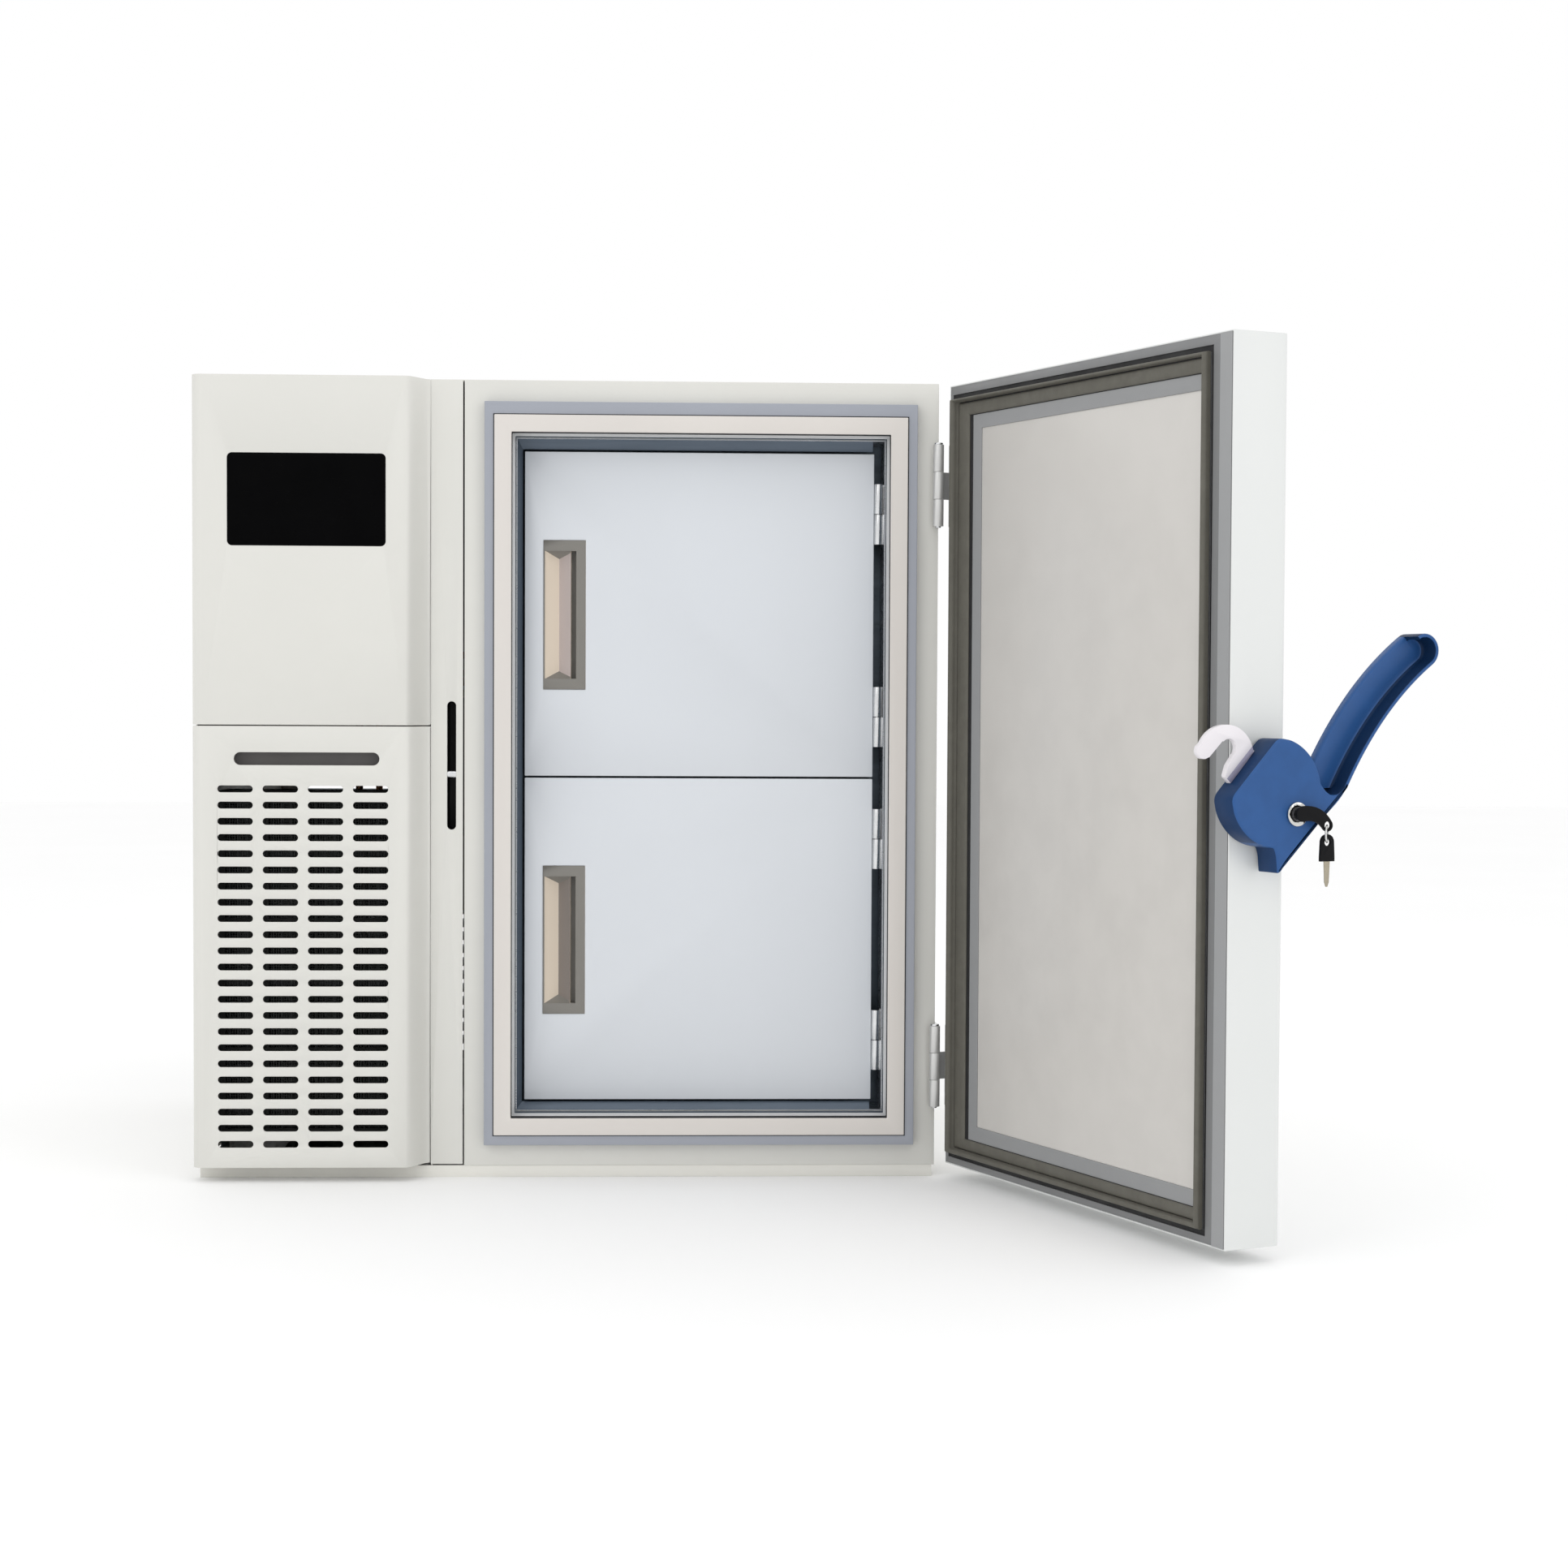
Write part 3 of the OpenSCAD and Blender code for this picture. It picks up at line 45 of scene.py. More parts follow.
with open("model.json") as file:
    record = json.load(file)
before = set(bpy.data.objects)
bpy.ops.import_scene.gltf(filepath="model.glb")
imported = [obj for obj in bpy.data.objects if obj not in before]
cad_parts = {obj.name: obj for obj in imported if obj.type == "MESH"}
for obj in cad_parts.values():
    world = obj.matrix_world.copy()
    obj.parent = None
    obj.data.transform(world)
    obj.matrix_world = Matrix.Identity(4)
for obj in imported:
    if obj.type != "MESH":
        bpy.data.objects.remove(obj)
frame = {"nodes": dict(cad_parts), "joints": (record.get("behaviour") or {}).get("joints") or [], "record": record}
NODES = frame["nodes"]
JOINTS = {joint["name"]: joint for joint in frame["joints"]}
MM = 0.001
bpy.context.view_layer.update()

# Camera, found from the straight edges of the cabinet and the open door
PICTURE_PX = 1932
FOCAL_PX = 3271.11
SENSOR_MM = 36.0
CAMERA_PLACE = Vector((0.11857, -3.00047, 0.49614))
CAMERA_TURN = (math.radians(-2.15), math.radians(1.92), math.radians(0.28))

LATCH_PIVOT = Vector(JOINTS["latch_pivot"]["pos_m"])
EDGE_OUT = Vector(JOINTS["latch_pivot"]["axis"]).normalized()
EDGE_ACROSS = Vector((-EDGE_OUT.y, EDGE_OUT.x, 0))
DOOR_REST = math.radians(-JOINTS["outer_door_hinge"]["range_deg"][0])
DOOR_AXIS = Vector(JOINTS["outer_door_hinge"]["pos_m"])


def door_matrix():
    """Carries a place on the closed outer door to the open rest place."""
    axis = Vector((DOOR_AXIS.x, DOOR_AXIS.y, 0))
    return Matrix.Translation(axis) @ Matrix.Rotation(DOOR_REST, 4, "Z") @ Matrix.Translation(-axis)


def closed_box(node):
    """Lowest and highest corner of a node of the outer door, as if the door were closed."""
    back = door_matrix().inverted()
    places = [back @ v.co for v in NODES[node].data.vertices]
    return (
        Vector(min(p[i] for p in places) for i in range(3)),
        Vector(max(p[i] for p in places) for i in range(3)),
    )


def edge_matrix():
    """Carries millimetres across, up and out from the latch's pivot to their place on the door's edge."""
    axes = Matrix((EDGE_ACROSS, Vector((0, 0, 1)), EDGE_OUT)).transposed().to_4x4()
    return Matrix.Translation(LATCH_PIVOT) @ axes @ Matrix.Scale(MM, 4)


def out_from_edge(node):
    """How far a node reaches out from the door's edge, lowest and highest, from the pivot in millimetres."""
    reach = [(v.co - LATCH_PIVOT).dot(EDGE_OUT) / MM for v in NODES[node].data.vertices]
    return min(reach), max(reach)


# Depth of the cream ring's flat face and of its whole front part, in millimetres
BREAKER_FACE = 1.6
BREAKER_DEPTH = 16

# Width of the dark bead round the cream ring in millimetres, which is a painted shadow at the ring's edge, and its
# section as (share of the way in, height)
SHADOW_LINE_WIDE = 1.2
SHADOW_LINE_PROFILE = ((0, 0), (0.15, -0.3 * MM), (0.8, -0.4 * MM), (1, 0))

# The throat's sloping strips in millimetres: the liner's wall, the gap to the inner doors, the room left for
# their hinges, how far behind the liner's front and the doors' fronts they start and end, and their sheet
SKIRT_WALL, SKIRT_GAP, SKIRT_HINGE_CLEAR, SKIRT_FRONT, SKIRT_BACK, SKIRT_SHEET = 1.25, 2.4, 13, 1.5, 3, 1.2

# Where the bulged panels end and the latch's strip begins, and how far the strip's edge goes up to them
SEAM_X = -0.13975
SEAM_NEAR = 0.0005
SEAM_CLOSE = 0.2 * MM


# Materials
class Finish:
    """One material's node tree, written step by step."""

    def __init__(self, name, colour, roughness=0.5, metallic=0.0, **sockets):
        self.material = bpy.data.materials.new(name)
        self.material.use_nodes = True
        self.material.diffuse_color = (*colour[:3], 1)
        self.tree = self.material.node_tree
        self.shader = self.tree.nodes["Principled BSDF"]
        self.colour = tuple(colour[:3])
        self.set("Base Color", (*self.colour, 1))
        self.set("Roughness", roughness)
        self.set("Metallic", metallic)
        for socket, value in sockets.items():
            self.set(socket.replace("_", " "), value)

    def set(self, socket, value):
        self.shader.inputs[socket].default_value = value

    def node(self, kind, **inputs):
        made = self.tree.nodes.new("ShaderNode" + kind)
        for name, value in inputs.items():
            socket = made.inputs[name.replace("_", " ")]
            if isinstance(value, bpy.types.NodeSocket):
                self.tree.links.new(value, socket)
            else:
                socket.default_value = value
        return made

    def place(self, stretch=(1, 1, 1), turn=(0, 0, 0)):
        """Object coordinates, stretched and turned."""
        coordinates = self.node("TexCoord").outputs["Object"]
        return self.node("Mapping", Vector=coordinates, Scale=stretch, Rotation=turn).outputs["Vector"]

    def noise(self, scale, detail=4.0, stretch=(1, 1, 1), roughness=0.55, turn=(0, 0, 0)):
        made = self.node("TexNoise", Vector=self.place(stretch, turn), Scale=scale, Detail=detail,
                         Roughness=roughness)
        return made.outputs["Fac"]

    def spread(self, value, low, high, from_low=0.35, from_high=0.65):
        """A noise value carried to a range of its own."""
        made = self.node("MapRange", Value=value, From_Min=from_low, From_Max=from_high, To_Min=low,
                         To_Max=high)
        return made.outputs["Result"]

    def tint(self, value, other, amount=1.0, low=0.35, high=0.65):
        """The colour drifts towards another where the value is high."""
        factor = self.spread(value, 0.0, amount, low, high)
        mix = self.tree.nodes.new("ShaderNodeMix")
        mix.data_type = "RGBA"
        self.tree.links.new(factor, mix.inputs["Factor"])
        current = self.shader.inputs["Base Color"]
        if current.is_linked:
            self.tree.links.new(current.links[0].from_socket, mix.inputs["A"])
        else:
            mix.inputs["A"].default_value = current.default_value
        mix.inputs["B"].default_value = (*other[:3], 1)
        self.tree.links.new(mix.outputs["Result"], current)
        return self

    def rough(self, value, low, high, from_low=0.35, from_high=0.65):
        roughness = self.spread(value, low, high, from_low, from_high)
        self.tree.links.new(roughness, self.shader.inputs["Roughness"])
        return self

    def bump(self, value, distance, strength=1.0):
        made = self.node("Bump", Height=value, Distance=distance, Strength=strength)
        current = self.shader.inputs["Normal"]
        if current.is_linked:
            self.tree.links.new(current.links[0].from_socket, made.inputs["Normal"])
        self.tree.links.new(made.outputs["Normal"], current)
        return self


def shade(colour, factor):
    return tuple(min(1.0, c * factor) for c in colour[:3])


def powder_coat(name, colour, roughness=0.42, peel=0.00006):
    """Sprayed and baked paint: a very fine orange peel, with slow changes of tone."""
    f = Finish(name, colour, roughness, Coat_Weight=0.12, Coat_Roughness=0.25)
    f.tint(f.noise(2.4, 3), shade(colour, 0.955), 0.8)
    f.tint(f.noise(38, 5), shade(colour, 0.97), 0.4)
    f.rough(f.noise(9, 4), roughness - 0.05, roughness + 0.06)
    f.bump(f.noise(950, 2), peel, 0.5)
    return f.material


def moulded(name, colour, roughness=0.45, grain=700, depth=0.00005, cloud=0.95, **sockets):
    """Injection moulded plastic: a fine even grain and faint flow marks."""
    f = Finish(name, colour, roughness, **sockets)
    f.tint(f.noise(5, 3, (1, 1, 0.35)), shade(colour, cloud), 0.8)
    f.rough(f.noise(30, 4), max(0.03, roughness - 0.06), roughness + 0.07)
    f.bump(f.noise(grain, 3), depth, 0.6)
    return f.material


def brushed(name, colour, roughness=0.3, along=(1, 1, 1), metallic=1.0, depth=0.00004):
    """Rolled or brushed sheet: long scratches along one direction."""
    f = Finish(name, colour, roughness, metallic)
    lines = f.noise(220, 6, along, 0.7)
    f.tint(lines, shade(colour, 0.86), 0.7)
    f.tint(f.noise(3, 3), shade(colour, 1.06), 0.6)
    f.rough(lines, roughness - 0.08, roughness + 0.1)
    f.bump(lines, depth, 0.7)
    return f.material


def rubber(name, colour):
    """Soft extruded vinyl: matt, dusty, with fine draw lines."""
    f = Finish(name, colour, 0.62, Specular_IOR_Level=0.35)
    f.tint(f.noise(14, 5), shade(colour, 1.14), 0.7)
    f.tint(f.noise(90, 4), shade(colour, 0.85), 0.5)
    f.rough(f.noise(40, 4), 0.52, 0.72)
    f.bump(f.noise(600, 4), 0.00008, 0.6)
    return f.material


# Mesh helpers: places nearer than WELD are one, and faces that turn less than FLAT are one sheet
WELD = 2e-6
FLAT = math.radians(0.4)

# How much smaller a ring's corners get on its inner side
CORNER_TAPER = 0.6


def link(mesh, name, materials, node, replaces=()):
    """Puts a finished mesh in the scene, on the body of the node that it goes with."""
    body, slot = body_of(node), slot_of(node)
    obj = bpy.data.objects.new(name, mesh)
    bpy.context.scene.collection.objects.link(obj)
    mesh.materials.clear()
    for material in materials:
        mesh.materials.append(material)
    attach(obj, body)
    if replaces:
        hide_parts(*replaces)
    return obj


def body_of(node):
    return next(body for body, members in frame["record"]["behaviour"]["bodies"].items() if node in members)


def slot_of(node):
    return next(s["material_slot"] for s in frame["record"]["subparts"] if s["node"] == node)


def dress(material, *nodes):
    """A node whose shape is right keeps it and gets its finish."""
    for node in nodes:
        mesh = NODES[node].data
        mesh.materials.clear()
        mesh.materials.append(material)


def applied(obj):
    """The object's evaluated mesh as a plain one, with the object taken away."""
    graph = bpy.context.evaluated_depsgraph_get()
    mesh = bpy.data.meshes.new_from_object(obj.evaluated_get(graph), depsgraph=graph)
    bpy.data.objects.remove(obj)
    return mesh


def soften(node, materials, width, segments=2, angle=32, pick=None, plain=None, reshape=None):
    """A copy of a node with its sharp edges rounded, as folded sheet and mouldings have them.

    Edges that plain names stay sharp, and reshape may move places before the rounding.
    """
    mesh = NODES[node].data.copy()
    work = bmesh.new()
    work.from_mesh(mesh)
    bmesh.ops.remove_doubles(work, verts=work.verts, dist=WELD)
    bmesh.ops.dissolve_limit(work, angle_limit=FLAT, verts=work.verts, edges=work.edges)
    if reshape:
        reshape(work)
    rounding = work.edges.layers.float.new("bevel_weight_edge")
    for edge in work.edges:
        sharp = len(edge.link_faces) == 2 and edge.calc_face_angle() > math.radians(angle)
        edge[rounding] = 1.0 if sharp and not (plain and plain(edge)) else 0.0
    for face in work.faces:
        face.smooth = True
    work.to_mesh(mesh)
    work.free()
    made = bpy.data.objects.new(node + "_work", mesh)
    bpy.context.scene.collection.objects.link(made)
    bevel = made.modifiers.new("edges", "BEVEL")
    bevel.width = width
    bevel.segments = segments
    bevel.limit_method = "WEIGHT"
    bevel.use_clamp_overlap = False
    bevel.harden_normals = True
    finished = applied(made)
    obj = link(finished, node + "_finished", materials, node, (node,))
    if pick:
        for face in finished.polygons:
            face.material_index = pick(face.center, face.normal)
    return obj


def rounded_loop(x0, x1, z0, z1, corner, steps):
    """A rectangle with each corner rounded in a fixed number of steps."""
    centres = ((x1 - corner, z1 - corner, 0), (x0 + corner, z1 - corner, 90),
               (x0 + corner, z0 + corner, 180), (x1 - corner, z0 + corner, 270))
    loop = []
    for cx, cz, start in centres:
        for i in range(steps + 1):
            a = math.radians(start + 90 * i / steps)
            loop.append((cx + corner * math.cos(a), cz + corner * math.sin(a)))
    return loop


def loft(loops, capped=False):
    """Joins closed loops of places into one skin, in a ring or between two caps."""
    work = bmesh.new()
    rows = [[work.verts.new(place) for place in loop] for loop in loops]
    for i, here in enumerate(rows if not capped else rows[:-1]):
        there = rows[(i + 1) % len(rows)]
        for j in range(len(here)):
            k = (j + 1) % len(here)
            work.faces.new((here[j], here[k], there[k], there[j]))
    if capped:
        work.faces.new(rows[0])
        work.faces.new(rows[-1])
    for face in work.faces:
        face.smooth = True
    bmesh.ops.remove_doubles(work, verts=work.verts, dist=WELD / 2)
    bmesh.ops.recalc_face_normals(work, faces=work.faces)
    return work


def ring(outer, inner, profile, base_y, corner=0.0, steps=4):
    """A closed profile of (share of the way in, height) carried from an outer rectangle to an inner one."""
    loops = []
    for share, height in profile:
        x0, x1, z0, z1 = (a + (b - a) * share for a, b in zip(outer, inner))
        loop = rounded_loop(x0, x1, z0, z1, corner * (1 - CORNER_TAPER * share), steps)
        loops.append([(x, base_y + height, z) for x, z in loop])
    return loft(loops)


def in_mm(*values):
    return tuple(v * MM for v in values)


def moved_in(outline, distance):
    """A closed counter-clockwise outline moved inwards."""
    moved = []
    for i, place in enumerate(outline):
        here, before, after = Vector(place), Vector(outline[i - 1]), Vector(outline[(i + 1) % len(outline)])
        first, second = (here - before).normalized(), (after - here).normalized()
        inward = Vector((-first.y - second.y, first.x + second.x)).normalized()
        reach = distance / max(0.4, inward.dot(Vector((-first.y, first.x))))
        moved.append(tuple(here + inward * reach))
    return moved


def bend(start, corner, end, steps=6):
    """A smooth turn from one place to another past a corner."""
    places = []
    for i in range(steps + 1):
        t = i / steps
        places.append(tuple((1 - t) ** 2 * s + 2 * t * (1 - t) * c + t * t * e
                            for s, c, e in zip(start, corner, end)))
    return places


def rounded_corners(outline, radius, steps=4):
    """An outline with its corners turned into smooth bends."""
    places = []
    for i, place in enumerate(outline):
        here, before, after = Vector(place), Vector(outline[i - 1]), Vector(outline[(i + 1) % len(outline)])
        reach = min(radius, (here - before).length * 0.45, (after - here).length * 0.45)
        start = here + (before - here).normalized() * reach
        end = here + (after - here).normalized() * reach
        places += bend(start, here, end, steps)
    return places


def slab(outline, low, high, edge, steps=5, foot=0.5, lip=0.3):
    """An outline carried from low to high, with a rounded upper edge and a small lower one."""
    profile = [(foot, low), (0.0, low + foot)]
    for i in range(steps + 1):
        a = math.radians(90 * i / steps)
        profile.append((edge * (1 - math.cos(a)), high - edge * (1 - math.sin(a))))
    profile.append((edge + lip, high))
    return loft([[(q, z, s) for q, z in moved_in(outline, inset)] for inset, s in profile], True)


def as_mesh(work, name, matrix=None, sharp=40):
    if matrix:
        work.transform(matrix)
    mesh = bpy.data.meshes.new(name)
    work.to_mesh(mesh)
    work.free()
    mesh.set_sharp_from_angle(angle=math.radians(sharp))
    return mesh


def arc(centre, radius, start, end, steps):
    """Points of an arc in a profile, in degrees."""
    return [
        (centre[0] + radius * math.cos(math.radians(start + (end - start) * i / steps)),
         centre[1] + radius * math.sin(math.radians(start + (end - start) * i / steps)))
        for i in range(steps + 1)
    ]


# Geometry node helpers
class Repeat:
    """A geometry node tree with named size inputs that repeats a small shape."""

    def __init__(self, name, sizes):
        self.group = bpy.data.node_groups.new(name, "GeometryNodeTree")
        face = self.group.interface
        face.new_socket("Geometry", in_out="INPUT", socket_type="NodeSocketGeometry")
        self.sockets = {}
        for label, value in sizes.items():
            kind = "NodeSocketInt" if isinstance(value, int) else "NodeSocketFloat"
            socket = face.new_socket(label, in_out="INPUT", socket_type=kind)
            socket.default_value = value
            self.sockets[label] = (socket.identifier, value)
        face.new_socket("Geometry", in_out="OUTPUT", socket_type="NodeSocketGeometry")
        self.start = self.group.nodes.new("NodeGroupInput")
        self.end = self.group.nodes.new("NodeGroupOutput")

    def node(self, kind, inputs=None, **settings):
        made = self.group.nodes.new(kind)
        for key, value in settings.items():
            setattr(made, key, value)
        for key, value in (inputs or {}).items():
            if isinstance(value, bpy.types.NodeSocket):
                self.group.links.new(value, made.inputs[key])
            else:
                made.inputs[key].default_value = value
        return made

    def size(self, label):
        return self.start.outputs[label]

    def times(self, first, second):
        made = self.node("ShaderNodeMath", operation="MULTIPLY")
        for socket, value in zip(made.inputs, (first, second)):
            if isinstance(value, bpy.types.NodeSocket):
                self.group.links.new(value, socket)
            else:
                socket.default_value = value
        return made.outputs[0]

    def vector(self, x=0.0, y=0.0, z=0.0):
        return self.node("ShaderNodeCombineXYZ", {"X": x, "Y": y, "Z": z}).outputs[0]

    def on_points(self, shape):
        """The shape on each loose point, turned to face the way that the point aims."""
        aim = self.node("GeometryNodeInputNamedAttribute", {"Name": "aim"}, data_type="FLOAT_VECTOR")
        turn = self.node("FunctionNodeAlignRotationToVector", {"Vector": aim.outputs[0]}, axis="Z")
        points = self.node("GeometryNodeMeshToPoints", {"Mesh": self.start.outputs[0]})
        return self.node("GeometryNodeInstanceOnPoints", {
            "Points": points.outputs[0], "Instance": shape, "Rotation": turn.outputs[0]}).outputs[0]

    def finish(self, geometry, material):
        realised = self.node("GeometryNodeRealizeInstances", {"Geometry": geometry}).outputs[0]
        painted = self.node("GeometryNodeSetMaterial", {"Geometry": realised})
        painted.inputs["Material"].default_value = material
        self.group.links.new(painted.outputs[0], self.end.inputs[0])

    def grow(self, mesh, name):
        """The tree's result on a mesh, as a plain mesh."""
        seed = bpy.data.objects.new(name, mesh)
        bpy.context.scene.collection.objects.link(seed)
        modifier = seed.modifiers.new(name, "NODES")
        modifier.node_group = self.group
        for identifier, value in self.sockets.values():
            modifier[identifier] = value
        return applied(seed)


def points_mesh(places):
    """Loose points, each with the direction its screw faces."""
    mesh = bpy.data.meshes.new("places")
    mesh.from_pydata([tuple(p) for p, _ in places], [], [])
    aim = mesh.attributes.new("aim", "FLOAT_VECTOR", "POINT")
    aim.data.foreach_set("vector", [c for _, d in places for c in d])
    return mesh


def row_of_bars(name, count, start, step, size, material):
    """A straight row of equal bars."""
    labels = {"Count": count}
    for label, values in (("Start", start), ("Step", step), ("Size", size)):
        labels.update({label + " " + axis: float(value) for axis, value in zip("XYZ", values)})
    tree = Repeat(name, labels)

    def vector(label):
        return tree.vector(*(tree.size(label + " " + axis) for axis in "XYZ"))

    line = tree.node("GeometryNodeMeshLine", {"Count": tree.size("Count"), "Start Location": vector("Start"),
                                              "Offset": vector("Step")})
    bar = tree.node("GeometryNodeMeshCube", {"Size": vector("Size")})
    bars = tree.node("GeometryNodeInstanceOnPoints", {"Points": line.outputs[0], "Instance": bar.outputs[0]})
    tree.finish(bars.outputs[0], material)
    return tree.grow(bpy.data.meshes.new(name), name)


# Shares of a screw head's radius: its height, its upper radius, and its recess's length and width. The recess
# is drawn as bars that are this much of the head's height, so that they show just above it
HEAD_HIGH, HEAD_TOP, RECESS_LONG, RECESS_WIDE = 0.32, 0.72, 1.05, 0.24
RECESS_BAR = 2.04


def screws(name, places, radius, node):
    """Pan heads with a cross recess, at places with the direction each one faces."""
    m = MATERIALS
    high = radius * HEAD_HIGH
    heads = Repeat(name + "_heads", {"Radius": radius, "Height": high})
    head = heads.node("GeometryNodeMeshCone", {
        "Vertices": 20, "Radius Bottom": heads.size("Radius"), "Depth": heads.size("Height"),
        "Radius Top": heads.times(heads.size("Radius"), HEAD_TOP)})
    heads.finish(heads.on_points(head.outputs[0]), m["bright"])
    crosses = Repeat(name + "_recesses", {
        "Long": radius * RECESS_LONG, "Wide": radius * RECESS_WIDE, "Height": high})
    bars = crosses.node("GeometryNodeJoinGeometry")
    for x, y in (("Long", "Wide"), ("Wide", "Long")):
        bar_high = crosses.times(crosses.size("Height"), RECESS_BAR)
        size = crosses.vector(crosses.size(x), crosses.size(y), bar_high)
        bar = crosses.node("GeometryNodeMeshCube", {"Size": size})
        crosses.group.links.new(bar.outputs[0], bars.inputs[0])
    # The recess bars are black: a painted shadow for the cross recess
    crosses.finish(crosses.on_points(bars.outputs[0]), m["pocket"])
    for tree, part, material in ((heads, "_heads", "bright"), (crosses, "_recesses", "pocket")):
        mesh = tree.grow(points_mesh(places), name + part)
        link(mesh, name + part, [m[material]], node)


# Sizes and colours that a user may change
def colour(name, text, value):
    return FloatVectorProperty(name=name, description=text, subtype="COLOR", size=3, min=0, max=1,
                               default=value)


class FreezerColours(PropertyGroup):
    cabinet: colour("Cabinet", "Baked paint of the cabinet", (0.71, 0.705, 0.665))
    door: colour("Door", "Baked paint of the outer door", (0.75, 0.765, 0.755))
    inner: colour("Inner doors", "Facing of the inner doors", (0.70, 0.73, 0.77))
    cream: colour("Cream ring", "Plastic ring round the chambers", (0.70, 0.665, 0.63))
    trim: colour("Grey ring", "Sealing face of the cabinet", (0.345, 0.365, 0.415))
    slate: colour("Slate", "Throat between the ring and the inner doors", (0.08, 0.105, 0.13))
    door_panel: colour("Door panel", "Glossy sheet inside the outer door", (0.60, 0.58, 0.55))
    border: colour("Door border", "Grey border inside the outer door", (0.28, 0.285, 0.29))
    gasket: colour("Gasket", "Vinyl seal of the outer door", (0.115, 0.110, 0.092))
    handle: colour("Handle", "Blue paint of the latch", (0.018, 0.080, 0.245))
    hook: colour("Hook", "White paint of the latch's hook", (0.80, 0.77, 0.80))
    tray: colour("Pull tray", "Moulded pulls of the inner doors", (0.22, 0.21, 0.19))
    # The pulls' lit slope is a lighter copy of their moulding: painted light
    tray_light: colour("Pull tray slope", "Slope of the pulls that faces the light", (0.78, 0.68, 0.56))


def length(name, text, value, low, high):
    """A length given in millimetres."""
    return FloatProperty(name=name, description=text, default=value * MM, min=low * MM, max=high * MM,
                         subtype="DISTANCE", unit="LENGTH")


class FreezerSizes(PropertyGroup):
    fold: length("Fold radius", "Rounding of folded sheet edges", 0.5, 0.2, 2)
    mould: length("Moulding radius", "Rounding of plastic edges", 0.5, 0.2, 2)
    handle_edge: length("Handle radius", "Rounding of the latch's edges", 2.2, 0.5, 4)
    mesh_pitch: length("Filter pitch", "Pitch of the dust filter's wires", 2.6, 1.5, 6)
    fins: IntProperty(name="Fins", description="Number of the condenser's fine fins", default=78,
                      min=20, max=120)


class FreezerStudio(PropertyGroup):
    floor: colour("Floor", "Colour of the studio floor", (0.985, 0.985, 0.985))
    sky: FloatProperty(name="Sky", description="Brightness of the even light", default=1.0, min=0, max=3)
    key: FloatProperty(name="Key light", description="Watts of the main soft light", default=9, min=0)
    fill: FloatProperty(name="Fill light", description="Watts of the fill and top lights", default=9, min=0)


MATERIALS = {}


